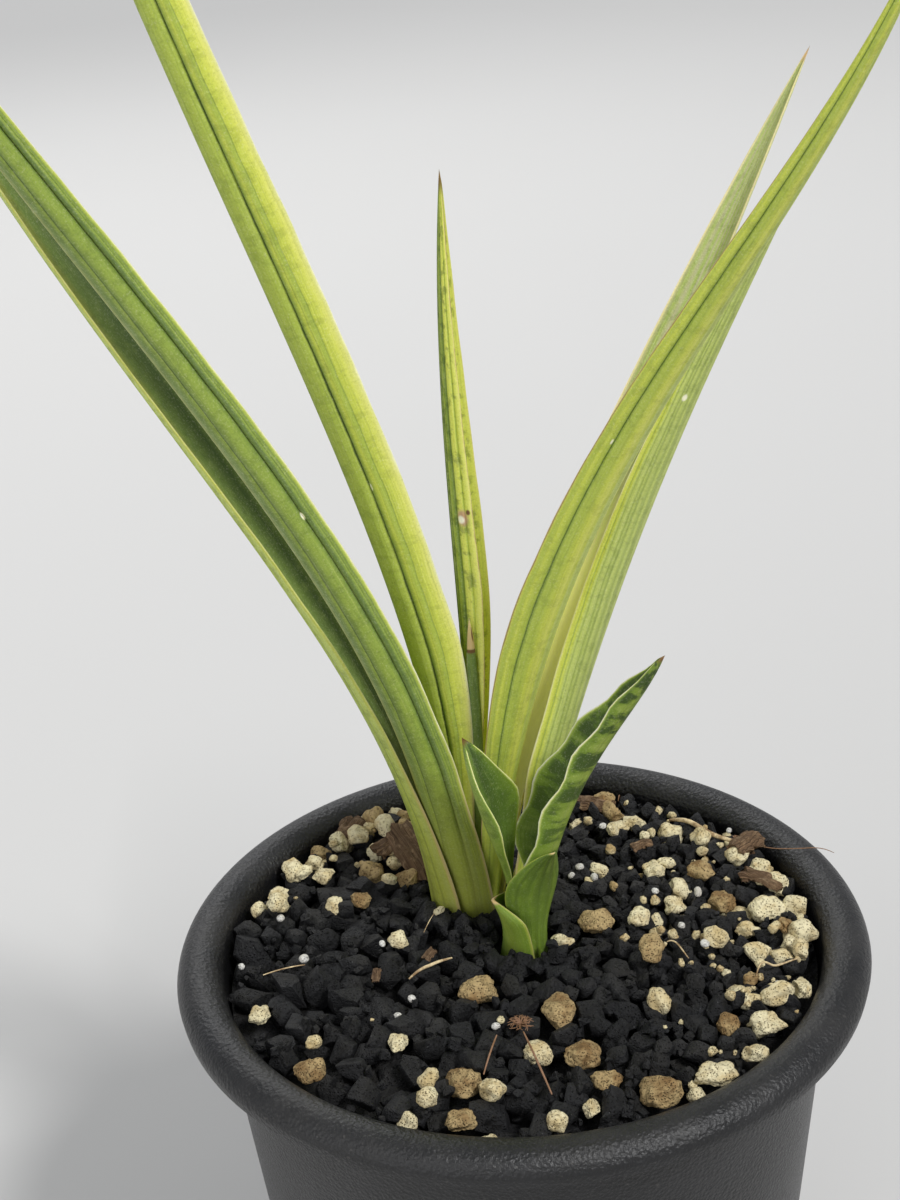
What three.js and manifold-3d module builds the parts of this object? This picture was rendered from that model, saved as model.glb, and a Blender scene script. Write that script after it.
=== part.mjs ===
// A royal crown snake plant in a black plastic pot. Millimetres, +Z up, origin at the centre of the pot's base.
import * as THREE from 'three';
import { mergeVertices } from 'three/addons/utils/BufferGeometryUtils.js';
import Module from 'manifold-3d';

const wasm = await Module();
wasm.setup();

const GAP = 0.3;

const POT = {
  height: 128,
  rollCentre: 69.8,
  rollDrop: 5.1,
  rollWidth: 5.2,
  curlWidth: 3,
  curlHeight: 2.9,
  neckHeight: 121.4,
  neckRadius: 66.6,
  baseRadius: 55,
  baseEdge: 1,
  wall: 2,
  floor: 2.6,
  sides: 48,
  drainCount: 6,
  drainRadius: 4,
  drainCircle: 36,
};

// Black grit fills the pot. Its grains are coarse at the front left and finer at the back right.
const GRIT = { top: 121.6, sides: 40, spacing: 10.4, coarse: 6, fine: 5, sink: 1.6, jitter: 1.6, edge: 6.2, seed: 71 };

const SOIL_LEVEL = 123.5;
const MAIN_SHOOT = { x: -9, y: 22, sunk: 12, hole: 11.8 };
const OFFSET_SHOOT = { x: 1, y: 3, sunk: 9, hole: 7.8 };
const RHIZOME = { radius: 6, sides: 10, overrun: 5 };
const ROOT = { count: 5, radius: 1.5, sides: 5, drop: 42, reach: 24, steps: 4 };

const GREEN = { pale: 0xa9b86a, mid: 0x7f9a4c, deep: 0x4f8436 };

// Azimuth is the side that a leaf's keel faces, counter-clockwise from +X, and drift is how far it turns on
// the way up. Lean goes from the base to the tip. Half and depth are the blade's half width and its depth.
const LEAVES = {
  leaf_left_back: {
    shoot: MAIN_SHOOT, radius: 10.1, azimuth: 167, drift: -16, lean: [-2, 55, 25, 29], length: 300,
    half: 9, depth: 8, twist: -14, taper: 2.2, wall: 2.4, groove: 0.3, colour: GREEN.mid,
  },
  leaf_left_front: {
    shoot: MAIN_SHOOT, radius: 8.7, azimuth: 214, drift: 9.5, lean: [-3, 46, 25, 34], length: 330,
    half: 7, depth: 8, twist: 9.5, taper: 2.5, wall: 2.4, groove: 0.3, colour: GREEN.mid,
  },
  leaf_right_outer: {
    shoot: MAIN_SHOOT, radius: 7.1, azimuth: -6, drift: -16, lean: [20, 8, 31, 23], length: 204,
    half: 9, depth: 8, twist: -22, taper: 1.8, wall: 2, groove: -0.2, colour: GREEN.pale,
    sheath: 45, wrap: 50,
  },
  leaf_left_upper: {
    shoot: MAIN_SHOOT, radius: 5.2, azimuth: 195, drift: 12, lean: [-4, 28, 19, 7], length: 350,
    half: 7, depth: 12, twist: 0, taper: 3, wall: 2.2, groove: 0.1, colour: GREEN.pale,
    sheath: 75, wrap: 62,
  },
  leaf_right_back: {
    shoot: MAIN_SHOOT, radius: 5, azimuth: 46, drift: 10, lean: [12, 50, 50, 54], length: 235,
    half: 8, depth: 10.5, twist: 8, taper: 1.8, wall: 2, groove: 0.2, colour: GREEN.pale,
    sheath: 80, wrap: 60,
  },
  leaf_right_front: {
    shoot: MAIN_SHOOT, radius: 3.9, azimuth: -34, drift: -16, lean: [7.5, 14, 57, 19], length: 262,
    half: 9, depth: 9, twist: -9, taper: 1.5, wall: 2.2, groove: -0.35, colour: GREEN.pale,
    sheath: 90, wrap: 68,
  },
  leaf_new: {
    shoot: MAIN_SHOOT, radius: 2.9, azimuth: 299, drift: -30, lean: [3.5, 4.5, 2, 0], length: 84,
    half: 1.8, depth: 1.2, twist: 0, taper: 2, wall: 0.9, groove: 0, colour: GREEN.deep,
    wrap: 50, sections: 9,
  },
  leaf_centre: {
    shoot: MAIN_SHOOT, radius: 1.9, azimuth: 170, drift: -12, lean: [-6, 3, 4, -7], length: 178,
    half: 5.5, depth: 9, twist: 4, taper: 2.5, wall: 1.8, groove: -0.2, colour: GREEN.mid,
    sheath: 90, wrap: 60,
  },
  offset_sheath_left: {
    shoot: OFFSET_SHOOT, radius: 6.4, azimuth: 207, drift: -18, lean: [-4, -17, 8, 26], length: 21,
    half: 7, depth: 5.8, twist: -10, taper: 1.6, wall: 0.8, groove: 0, colour: GREEN.deep,
    straight: 16, sheath: 6.5, wrap: 80, sections: 10,
  },
  offset_sheath_right: {
    shoot: OFFSET_SHOOT, radius: 5, azimuth: 301, drift: -4, lean: [-1.5, -4, 23.5, 35], length: 39.5,
    half: 11.5, depth: 7.5, twist: -3, taper: 1.6, wall: 0.7, groove: 0, colour: GREEN.deep,
    straight: 11, sheath: 17.5, wrap: 62, sections: 13,
  },
  offset_leaf_left: {
    shoot: OFFSET_SHOOT, radius: 3.8, azimuth: 205, drift: -44.5, lean: [-11, 9.5, 22.5, 7], length: 61,
    half: 12.5, depth: 10.7, twist: -13, taper: 2.4, wall: 1.4, groove: 0, colour: GREEN.deep,
    straight: 21, sheath: 24, wrap: 46, wave: 0.6, sections: 12,
  },
  offset_leaf_right: {
    shoot: OFFSET_SHOOT, radius: 2.5, azimuth: 16, drift: -77, lean: [8, 5, 48.5, 27.5], length: 92,
    half: 8.5, depth: 10.5, twist: 25, taper: 2.4, wall: 1.4, groove: 0, colour: GREEN.deep,
    straight: 11.5, sheath: 22, wrap: 74, wave: 0.9, sections: 17,
  },
};

const LEAF = {
  straight: 5,
  sheath: 40,
  sheathWall: 0.7,
  sheathArc: 85,
  bladeArc: 80,
  edgeWall: 0.9,
  blunt: 0.8,
  twistEnd: 0.6,
  grooveDepth: 0.5,
  grooveWidth: 0.13,
  waveLength: 16,
  sections: 15,
  lastSection: 0.975,
  spread: 1.2,
  steps: 300,
};

// Places of a section's corners as a share of its arc, on the outer and the inner side.
const OUTER_CORNERS = [-1, -0.7, -0.4, -0.13, 0.13, 0.4, 0.7, 1];
const INNER_CORNERS = [0.92, 0.55, 0.18, -0.18, -0.55, -0.92];

// Pumice stones as x, y, width and length.
const TAN_STONES = [
  [17, 5, 8.4, 8], [-10, -17, 8.8, 8.4], [6, -26, 8.2, 10.5], [10, -40, 7.6, 7.6], [-14, -46, 8.3, 9.5],
  [-45, -39, 6.8, 7], [-15, -57, 6.5, 5.4], [24, -53, 9.7, 9.4], [14, -49, 6.4, 6], [45, 9, 6.4, 6.6],
  [40, -34, 5.4, 6.6], [-33, 31, 6.4, 7], [-25, 28, 6.2, 6], [-35, 20, 5.4, 5.4], [-45, 41, 5.4, 5],
];
const CREAM_STONES = [
  [-56, -20, 4.8, 6], [-27, -32, 4.2, 5.4], [1, -39, 6, 5.8], [10, -56, 4, 4.8], [35, -49, 9, 6.6],
  [44, -43, 6.6, 5], [48, -35, 8, 7], [57, -23, 4.4, 6.6], [50, -11, 7.4, 6.2], [58, -8, 6.2, 6.4],
  [55, 5, 9, 7], [49, -2, 6, 5], [58, 17, 5.6, 5], [35, 9, 4.9, 7.4], [32, 25, 6, 5], [9, -1, 6, 4.2],
  [30, 45, 6, 4.8], [-32, 40, 4.8, 6.2], [-44, 31, 5.4, 5], [-54, 25, 6, 4.4],
];
const STONE = { heightShare: 0.8, sink: 0.12, roughness: 0.12, seed: 19 };

const lerp = THREE.MathUtils.lerp;
const radians = THREE.MathUtils.degToRad;
const smooth = (x) => THREE.MathUtils.smoothstep(x, 0, 1);

const potPlastic = () => new THREE.MeshStandardMaterial({ color: 0x17181a, roughness: 0.55, metalness: 0 });
const blackGrit = () => new THREE.MeshStandardMaterial({ color: 0x1b1c1e, roughness: 0.95, metalness: 0 });
const pumice = (color) => new THREE.MeshStandardMaterial({ color, roughness: 0.92, metalness: 0 });
const leafSkin = (color) => new THREE.MeshStandardMaterial({ color, roughness: 0.5, metalness: 0 });
const rootFlesh = () => new THREE.MeshStandardMaterial({ color: 0xc99a5b, roughness: 0.8, metalness: 0 });

// The same draws on every run.
function seededRandom(seed) {
  let state = seed;
  return () => {
    state = (state * 1664525 + 1013904223) % 4294967296;
    return state / 4294967296;
  };
}

function bezier([a, b, c, d], t) {
  const u = 1 - t;
  return a * u ** 3 + 3 * b * t * u ** 2 + 3 * c * t ** 2 * u + d * t ** 3;
}

// A closed mesh with shared vertices as a solid that can be joined and cut.
function solidOf(geometry) {
  const bare = geometry.index ? geometry.clone() : geometry;
  bare.deleteAttribute('normal');
  bare.deleteAttribute('uv');
  const merged = mergeVertices(bare, 1e-4);
  const index = [];
  for (let i = 0; i < merged.index.count; i += 3) {
    const [a, b, c] = [0, 1, 2].map((corner) => merged.index.getX(i + corner));
    if (a !== b && b !== c && c !== a) index.push(a, b, c);
  }
  const triVerts = new Uint32Array(index);
  const vertProperties = new Float32Array(merged.attributes.position.array);
  return new wasm.Manifold(new wasm.Mesh({ numProp: 3, vertProperties, triVerts }));
}

function geometryOf(solid) {
  const mesh = solid.getMesh();
  const geometry = new THREE.BufferGeometry();
  geometry.setAttribute('position', new THREE.Float32BufferAttribute(mesh.vertProperties, 3));
  geometry.setIndex(new THREE.Uint32BufferAttribute(mesh.triVerts, 1));
  return geometry;
}

// Loose scraps left by a cut are dropped.
function largestPiece(solid) {
  return solid.decompose().reduce((best, piece) => (piece.volume() > best.volume() ? piece : best));
}

function geometryFromPoints(points, faces) {
  const geometry = new THREE.BufferGeometry();
  geometry.setAttribute('position', new THREE.Float32BufferAttribute(points.flatMap((p) => p.toArray()), 3));
  geometry.setIndex(faces);
  return geometry;
}

function namedMesh(name, geometry, material) {
  geometry.computeVertexNormals();
  const mesh = new THREE.Mesh(geometry, material);
  mesh.name = name;
  return mesh;
}

// Faces that close a level ring, run against the ring's own direction.
function capFaces(ring) {
  const outline = ring.map((p) => new THREE.Vector2(p.x, p.y));
  const way = Math.sign(THREE.ShapeUtils.area(outline));
  return THREE.ShapeUtils.triangulateShape(outline, []).flatMap((face) => {
    const along = Math.sign(THREE.ShapeUtils.area(face.map((corner) => outline[corner]))) === way;
    return along ? [face[0], face[2], face[1]] : face;
  });
}

// Rings of points joined into one closed skin, with a flat first end and a pointed last end.
function skinOverRings(rings, tip) {
  const count = rings[0].length;
  const points = [...rings.flat(), tip];
  const faces = capFaces(rings[0]);
  for (let row = 0; row + 1 < rings.length; row += 1) {
    for (let i = 0; i < count; i += 1) {
      const a = row * count + i;
      const b = row * count + ((i + 1) % count);
      faces.push(a, b, b + count, a, b + count, a + count);
    }
  }
  const last = (rings.length - 1) * count;
  for (let i = 0; i < count; i += 1) faces.push(last + i, last + ((i + 1) % count), points.length - 1);
  const inverted = signedVolume(points, faces) < 0;
  return geometryFromPoints(points, inverted ? faces.reverse() : faces);
}

function signedVolume(points, faces) {
  let volume = 0;
  for (let i = 0; i < faces.length; i += 3) {
    const [a, b, c] = [points[faces[i]], points[faces[i + 1]], points[faces[i + 2]]];
    volume += new THREE.Vector3().crossVectors(b, c).dot(a) / 6;
  }
  return volume;
}

// The keel's line with its directions: along the leaf, outward from the channel and across it.
function leafSpine(leaf) {
  const spine = [];
  const step = leaf.length / LEAF.steps;
  const start = radians(leaf.azimuth);
  const keel = new THREE.Vector3(
    leaf.shoot.x + leaf.radius * Math.cos(start),
    leaf.shoot.y + leaf.radius * Math.sin(start),
    SOIL_LEVEL - leaf.shoot.sunk,
  );
  for (let i = 0; i <= LEAF.steps; i += 1) {
    const t = i / LEAF.steps;
    const lean = radians(bezier(leaf.lean, t));
    const azimuth = radians(leaf.azimuth + leaf.drift * t);
    const level = new THREE.Vector3(-Math.sin(azimuth), Math.cos(azimuth), 0);
    const along = new THREE.Vector3(
      Math.sin(lean) * Math.cos(azimuth),
      Math.sin(lean) * Math.sin(azimuth),
      Math.cos(lean),
    );
    const turn = radians(leaf.twist) * smooth(t / LEAF.twistEnd);
    const out = new THREE.Vector3().crossVectors(level, along).applyAxisAngle(along, turn);
    const across = level.clone().applyAxisAngle(along, turn);
    spine.push({ keel: keel.clone(), out, across, along });
    keel.addScaledVector(along, step);
  }
  return spine;
}

// One ring of a leaf's section: a round sheath at the base that opens into a deep channel.
function leafSection(leaf, spine, t) {
  const place = spine[Math.round(t * LEAF.steps)];
  const s = t * leaf.length;
  const blade = smooth((s - (leaf.straight ?? LEAF.straight)) / (leaf.sheath ?? LEAF.sheath));
  const narrowing = Math.max(1 - t ** leaf.taper, 0) ** LEAF.blunt;
  const half = lerp(leaf.radius, leaf.half * narrowing, blade);
  const depth = lerp(leaf.radius, leaf.depth * narrowing, blade);
  const arc = radians(lerp(leaf.wrap ?? LEAF.sheathArc, LEAF.bladeArc, blade));
  const keelWall = Math.min(lerp(LEAF.sheathWall, leaf.wall, blade ** 3), 0.7 * half, 0.7 * depth);
  const edgeWall = Math.min(lerp(LEAF.sheathWall, LEAF.edgeWall, blade), keelWall);
  const wave = (leaf.wave ?? 0) * blade * narrowing * Math.sin((2 * Math.PI * s) / LEAF.waveLength);
  const centre = place.keel.clone().addScaledVector(place.out, -depth);
  const flat = [];
  for (const share of OUTER_CORNERS) {
    const groove = leaf.groove === 0 ? 0 : Math.exp(-(((share - leaf.groove) / LEAF.grooveWidth) ** 2));
    const inset = LEAF.grooveDepth * groove * blade * narrowing;
    flat.push([share, inset]);
  }
  for (const share of INNER_CORNERS) flat.push([share, lerp(keelWall, edgeWall, share ** 2)]);
  return flat.map(([share, inset]) => {
    const angle = arc * share;
    const flare = wave * share ** 2;
    return new THREE.Vector2(
      (depth - inset) * Math.cos(angle) + flare * Math.abs(share),
      (half - inset) * Math.sin(angle),
    );
  }).map((p) => centre.clone().addScaledVector(place.out, p.x).addScaledVector(place.across, p.y));
}

function leafGeometry(leaf) {
  const spine = leafSpine(leaf);
  const rings = [];
  const sections = leaf.sections ?? LEAF.sections;
  for (let i = 0; i <= sections; i += 1) {
    rings.push(leafSection(leaf, spine, LEAF.lastSection * (i / sections) ** LEAF.spread));
  }
  return skinOverRings(rings, spine[LEAF.steps].keel);
}

function ellipsePoints(halfWidth, halfHeight, from, to, steps) {
  const centreHeight = POT.height - POT.rollDrop;
  const points = [];
  for (let i = 0; i <= steps; i += 1) {
    const angle = radians(lerp(from, to, i / steps));
    points.push([POT.rollCentre + halfWidth * Math.cos(angle), centreHeight + halfHeight * Math.sin(angle)]);
  }
  return points;
}

// Outer radius of the pot's wall at a height below its rim.
const wallRadius = (z) => lerp(POT.baseRadius, POT.neckRadius, z / POT.neckHeight);

// A tapered wall under a broad rolled rim that is curled and open beneath, with drain holes in the floor.
function potGeometry() {
  const profile = [
    [0, 0],
    [POT.baseRadius - POT.baseEdge, 0],
    [wallRadius(POT.baseEdge), POT.baseEdge],
    [POT.neckRadius, POT.neckHeight],
    ...ellipsePoints(POT.curlWidth, POT.curlHeight, 180, 0, 4),
    [POT.rollCentre + POT.curlWidth, POT.neckHeight],
    [POT.rollCentre + POT.rollWidth - 0.4, POT.neckHeight],
    ...ellipsePoints(POT.rollWidth, POT.rollDrop, 0, 180, 7),
    [wallRadius(POT.floor) - POT.wall, POT.floor],
    [0, POT.floor],
  ].map(([r, z]) => new THREE.Vector2(r, z));
  let pot = solidOf(new THREE.LatheGeometry(profile, POT.sides).rotateX(Math.PI / 2));
  for (let i = 0; i < POT.drainCount; i += 1) {
    const angle = (2 * Math.PI * i) / POT.drainCount;
    const drill = new THREE.CylinderGeometry(POT.drainRadius, POT.drainRadius, 4 * POT.floor, 10);
    drill.rotateX(Math.PI / 2).translate(POT.drainCircle * Math.cos(angle), POT.drainCircle * Math.sin(angle), 0);
    pot = pot.subtract(solidOf(drill));
  }
  return geometryOf(pot);
}

// A lump with its corners moved in and out at random and turned at random.
function lumpGeometry(base, size, roughness, random) {
  base.deleteAttribute('normal');
  base.deleteAttribute('uv');
  const lump = mergeVertices(base, 1e-4);
  const corners = lump.attributes.position;
  const corner = new THREE.Vector3();
  for (let i = 0; i < corners.count; i += 1) {
    corner.fromBufferAttribute(corners, i).multiplyScalar(1 + roughness * (2 * random() - 1));
    corners.setXYZ(i, corner.x, corner.y, corner.z);
  }
  lump.rotateX(2 * Math.PI * random()).rotateZ(2 * Math.PI * random());
  return lump.scale(...size);
}

function stoneSpecs() {
  const random = seededRandom(STONE.seed);
  const tones = [[TAN_STONES, 'tan', 0x8d7147], [CREAM_STONES, 'cream', 0xd2c190]];
  return tones.flatMap(([places, tone, colour]) => places.map(([x, y, width, length], i) => {
    const height = STONE.heightShare * Math.min(width, length);
    const size = [width / 2, length / 2, height / 2];
    const shape = lumpGeometry(new THREE.DodecahedronGeometry(1, 0), [1, 1, 1], STONE.roughness, random);
    const place = (grow) => shape.clone()
      .scale(...size.map((half) => half + grow))
      .translate(x, y, SOIL_LEVEL + height * STONE.sink);
    return { name: `pumice_${tone}_${i + 1}`, colour, geometry: place(0), pocket: place(GAP) };
  }));
}

// The body that carries both shoots, lying under them in the grit, with roots that reach down.
function rhizomeGeometry(grow) {
  const from = new THREE.Vector3(MAIN_SHOOT.x, MAIN_SHOOT.y, 0);
  const to = new THREE.Vector3(OFFSET_SHOOT.x, OFFSET_SHOOT.y, 0);
  const direction = to.clone().sub(from).normalize();
  const top = SOIL_LEVEL - MAIN_SHOOT.sunk - 2 * GAP;
  from.addScaledVector(direction, -RHIZOME.overrun).setZ(top - RHIZOME.radius);
  to.addScaledVector(direction, RHIZOME.overrun).setZ(top - RHIZOME.radius);
  const length = from.distanceTo(to);
  const body = new THREE.CapsuleGeometry(RHIZOME.radius + grow, length - 2 * RHIZOME.radius, 3, RHIZOME.sides);
  const turn = new THREE.Quaternion().setFromUnitVectors(new THREE.Vector3(0, 1, 0), direction);
  body.applyQuaternion(turn).translate(...from.clone().add(to).multiplyScalar(0.5).toArray());
  let solid = solidOf(body);
  for (let i = 0; i < ROOT.count; i += 1) {
    const angle = (2 * Math.PI * (i + 0.4)) / ROOT.count;
    const start = from.clone().lerp(to, (i + 0.5) / ROOT.count);
    const side = new THREE.Vector3(Math.cos(angle), Math.sin(angle), 0);
    const rings = [];
    for (let step = 0; step <= ROOT.steps; step += 1) {
      const t = step / ROOT.steps;
      const centre = start.clone().addScaledVector(side, ROOT.reach * t ** 1.5).setZ(start.z - ROOT.drop * t);
      const radius = ROOT.radius * (1 - 0.5 * t) + 2 * grow;
      const corners = Array.from({ length: ROOT.sides }, (_, corner) => (2 * Math.PI * corner) / ROOT.sides);
      rings.push(corners.map((a) => centre.clone().add(
        new THREE.Vector3(radius * Math.cos(a), radius * Math.sin(a), 0),
      )));
    }
    const tip = start.clone().addScaledVector(side, ROOT.reach).setZ(start.z - ROOT.drop - ROOT.radius - 2 * grow);
    solid = solid.add(solidOf(skinOverRings(rings, tip)));
  }
  return solid;
}

// The grit as one bed: a plain body with grains sunk into its top, holes for the shoots and stone pockets.
function gritGeometry(stones) {
  const floor = POT.floor + GAP;
  const inner = (z) => wallRadius(z) - POT.wall - 2 * GAP;
  const profile = [[0, floor], [inner(floor), floor], [inner(GRIT.top), GRIT.top], [0, GRIT.top]];
  const body = new THREE.LatheGeometry(profile.map(([r, z]) => new THREE.Vector2(r, z)), GRIT.sides);
  let bed = solidOf(body.rotateX(Math.PI / 2));
  const random = seededRandom(GRIT.seed);
  const rowStep = GRIT.spacing * Math.sqrt(0.75);
  const reach = inner(GRIT.top) - GRIT.edge;
  const rows = Math.ceil(reach / rowStep);
  const grains = [];
  for (let row = -rows; row <= rows; row += 1) {
    for (let column = -rows - 1; column <= rows + 1; column += 1) {
      const x = (column + (row % 2 ? 0.5 : 0)) * GRIT.spacing + GRIT.jitter * (random() - 0.5);
      const y = row * rowStep + GRIT.jitter * (random() - 0.5);
      if (Math.hypot(x, y) > reach) continue;
      const size = lerp(GRIT.coarse, GRIT.fine, smooth((x + y + reach) / (2 * reach)));
      const squash = [size, size * (0.85 + 0.25 * random()), size * (0.7 + 0.2 * random())];
      const grain = lumpGeometry(new THREE.IcosahedronGeometry(1, 0), squash, 0.1, random);
      grain.translate(x, y, GRIT.top - GRIT.sink + 1.2 * random());
      grains.push(solidOf(grain));
    }
  }
  bed = wasm.Manifold.union([bed, ...grains]);
  for (const shoot of [MAIN_SHOOT, OFFSET_SHOOT]) {
    const bottom = SOIL_LEVEL - shoot.sunk - GAP - RHIZOME.radius;
    const height = POT.height - bottom;
    const hole = new THREE.CylinderGeometry(shoot.hole, shoot.hole, height, 20);
    hole.rotateX(Math.PI / 2).translate(shoot.x, shoot.y, bottom + height / 2);
    bed = bed.subtract(solidOf(hole));
  }
  bed = bed.subtract(rhizomeGeometry(GAP));
  for (const stone of stones) bed = bed.subtract(solidOf(stone.pocket));
  return geometryOf(largestPiece(bed));
}

const plant = new THREE.Group();
const stones = stoneSpecs();
plant.add(namedMesh('pot', potGeometry(), potPlastic()));
plant.add(namedMesh('grit_bed', gritGeometry(stones), blackGrit()));
plant.add(namedMesh('rhizome', geometryOf(rhizomeGeometry(0)), rootFlesh()));
for (const stone of stones) plant.add(namedMesh(stone.name, stone.geometry, pumice(stone.colour)));
for (const [name, leaf] of Object.entries(LEAVES)) {
  plant.add(namedMesh(name, leafGeometry(leaf), leafSkin(leaf.colour)));
}

export default plant;
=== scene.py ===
import math
import random

import bpy
import numpy as np
from mathutils import Matrix, Vector, noise


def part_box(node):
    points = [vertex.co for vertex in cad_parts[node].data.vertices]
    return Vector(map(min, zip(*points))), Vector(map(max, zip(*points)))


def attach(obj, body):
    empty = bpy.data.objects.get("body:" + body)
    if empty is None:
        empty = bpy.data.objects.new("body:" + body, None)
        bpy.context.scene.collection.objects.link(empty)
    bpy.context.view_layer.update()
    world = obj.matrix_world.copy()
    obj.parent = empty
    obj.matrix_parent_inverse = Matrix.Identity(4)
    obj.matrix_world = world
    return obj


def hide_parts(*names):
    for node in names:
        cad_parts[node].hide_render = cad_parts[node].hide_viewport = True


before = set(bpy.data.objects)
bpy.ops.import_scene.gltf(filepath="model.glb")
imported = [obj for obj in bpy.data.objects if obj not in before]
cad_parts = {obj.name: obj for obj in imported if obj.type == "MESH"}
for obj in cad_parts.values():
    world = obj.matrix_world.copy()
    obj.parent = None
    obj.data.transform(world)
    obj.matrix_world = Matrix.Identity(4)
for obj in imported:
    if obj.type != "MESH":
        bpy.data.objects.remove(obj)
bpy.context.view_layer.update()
mm = 0.001


# selecting, applying and joining

def clearSelection():
    bpy.ops.object.select_all(action="DESELECT")


def pick(*things):
    clearSelection()
    for thing in things:
        thing.select_set(True)
    bpy.context.view_layer.objects.active = things[0]


def editMode():
    bpy.ops.object.mode_set(mode="EDIT")


def objectMode():
    bpy.ops.object.mode_set(mode="OBJECT")


def selectMesh(action="SELECT"):
    bpy.ops.mesh.select_all(action=action)


def faceOutward():
    selectMesh()
    bpy.ops.mesh.normals_make_consistent(inside=False)


def applyModifiers(piece):
    pick(piece)
    for modifier in list(piece.modifiers):
        bpy.ops.object.modifier_apply(modifier=modifier.name)


def applyPlace(piece):
    pick(piece)
    bpy.ops.object.transform_apply(location=True, rotation=True, scale=True)


def roundShading(piece):
    pick(piece)
    bpy.ops.object.shade_smooth()


def edgedShading(piece, angle):
    pick(piece)
    bpy.ops.object.shade_smooth_by_angle(angle=math.radians(angle))


def ownCopy(kind):
    copy = kind.copy()
    copy.data = kind.data.copy()
    bpy.context.collection.objects.link(copy)
    return copy


def discard(things):
    for thing in things:
        bpy.data.objects.remove(thing)


def joinAll(name, parts):
    pick(*parts)
    bpy.ops.object.join()
    joined = bpy.context.object
    joined.name = name
    applyPlace(joined)
    return joined


def writeAttribute(piece, name, values):
    piece.data.attributes.new(name, "FLOAT", "POINT").data.foreach_set("value", values)


def dress(piece, material, slot, *nodeNames):
    piece.data.materials.clear()
    piece.data.materials.append(material)
    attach(piece, "root")
    if nodeNames:
        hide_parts(*nodeNames)


# measures

def lerp(a, b, t):
    return a + (b - a) * t


def smooth(x):
    x = min(max(x, 0), 1)
    return x * x * (3 - 2 * x)


def bezier(values, t):
    u = 1 - t
    a, b, c, d = values
    return a * u**3 + 3 * b * t * u**2 + 3 * c * t**2 * u + d * t**3


def polar(radius, angle):
    return radius * math.cos(angle), radius * math.sin(angle)


def roughAt(x, y, z):
    return noise.noise(Vector((x, y, z)))


# materials: bench holds the node tree that is being wired

bench = {}


def srgb(red, green, blue):
    tone = []
    for channel in (red, green, blue):
        share = channel / 255
        tone.append(share / 12.92 if share <= 0.04045 else ((share + 0.055) / 1.055) ** 2.4)
    return (*tone, 1)


def startMaterial(name, roughness, specular):
    material = bpy.data.materials.new(name)
    material.use_nodes = True
    bench["tree"] = material.node_tree
    shader = material.node_tree.nodes["Principled BSDF"]
    feed(shader, {"Roughness": roughness, "Specular IOR Level": specular})
    return material, shader


def startGroup(name, outputs, **inputs):
    # an input that starts as None takes a place, any other a number
    tree = bench["tree"] = bpy.data.node_groups.new(name, "ShaderNodeTree")
    for label, value in inputs.items():
        kind = "NodeSocketVector" if value is None else "NodeSocketFloat"
        socket = tree.interface.new_socket(name=label, in_out="INPUT", socket_type=kind)
        if value is not None:
            socket.default_value = value
    for label in outputs:
        tree.interface.new_socket(name=label, in_out="OUTPUT", socket_type="NodeSocketFloat")
    return tree, addNode("NodeGroupInput").outputs, addNode("NodeGroupOutput")


def addNode(kind, **settings):
    node = bench["tree"].nodes.new(kind)
    for key, value in settings.items():
        setattr(node, key, value)
    return node


def feed(node, values):
    # sockets by name or number, each given a wire, a number or a colour
    for socket, value in values.items():
        if isinstance(value, bpy.types.NodeSocket):
            bench["tree"].links.new(value, node.inputs[socket])
        else:
            node.inputs[socket].default_value = value


def useGroup(group, **values):
    node = addNode("ShaderNodeGroup", node_tree=group)
    feed(node, values)
    return node.outputs


def maths(operation, first, second=0.0, third=0.0, clamp=False):
    node = addNode("ShaderNodeMath", operation=operation, use_clamp=clamp)
    feed(node, {0: first, 1: second, 2: third})
    return node.outputs[0]


def plus(first, second):
    return maths("ADD", first, second)


def minus(first, second):
    return maths("SUBTRACT", first, second)


def times(first, second):
    return maths("MULTIPLY", first, second)


def rescale(value, low, high, newLow=0.0, newHigh=1.0):
    node = addNode("ShaderNodeMapRange", interpolation_type="SMOOTHSTEP")
    feed(node, {"Value": value, "From Min": low, "From Max": high, "To Min": newLow, "To Max": newHigh})
    return node.outputs[0]


def mixTones(share, first, second):
    node = addNode("ShaderNodeMix", data_type="RGBA")
    feed(node, {"Factor": share, 6: first, 7: second})
    return node.outputs[2]


def noiseAt(vector, scale, detail, roughness):
    node = addNode("ShaderNodeTexNoise")
    feed(node, {"Vector": vector, "Scale": scale, "Detail": detail, "Roughness": roughness})
    return node.outputs[0]


def cellsAt(vector, scale, feature, **more):
    node = addNode("ShaderNodeTexVoronoi", feature=feature)
    feed(node, {"Vector": vector, "Scale": scale, **more})
    return node.outputs["Distance"]


def placeOf(x, y, z):
    node = addNode("ShaderNodeCombineXYZ")
    feed(node, {"X": x, "Y": y, "Z": z})
    return node.outputs[0]


def objectPlace():
    return addNode("ShaderNodeTexCoord").outputs["Object"]


def attributeOf(name):
    return addNode("ShaderNodeAttribute", attribute_name=name).outputs["Fac"]


def toneRamp(share, stops):
    node = addNode("ShaderNodeValToRGB")
    ramp = node.color_ramp
    ramp.elements[0].position, ramp.elements[0].color = stops[0]
    ramp.elements[1].position, ramp.elements[1].color = stops[-1]
    for position, tone in stops[1:-1]:
        ramp.elements.new(position).color = tone
    feed(node, {0: share})
    return node.outputs[0]


def finishSkin(shader, tone, height, distance, strength):
    bump = addNode("ShaderNodeBump")
    feed(bump, {"Strength": strength, "Distance": distance, "Height": height})
    feed(shader, {"Base Color": tone, "Normal": bump.outputs[0]})


# effects that several materials share

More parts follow.
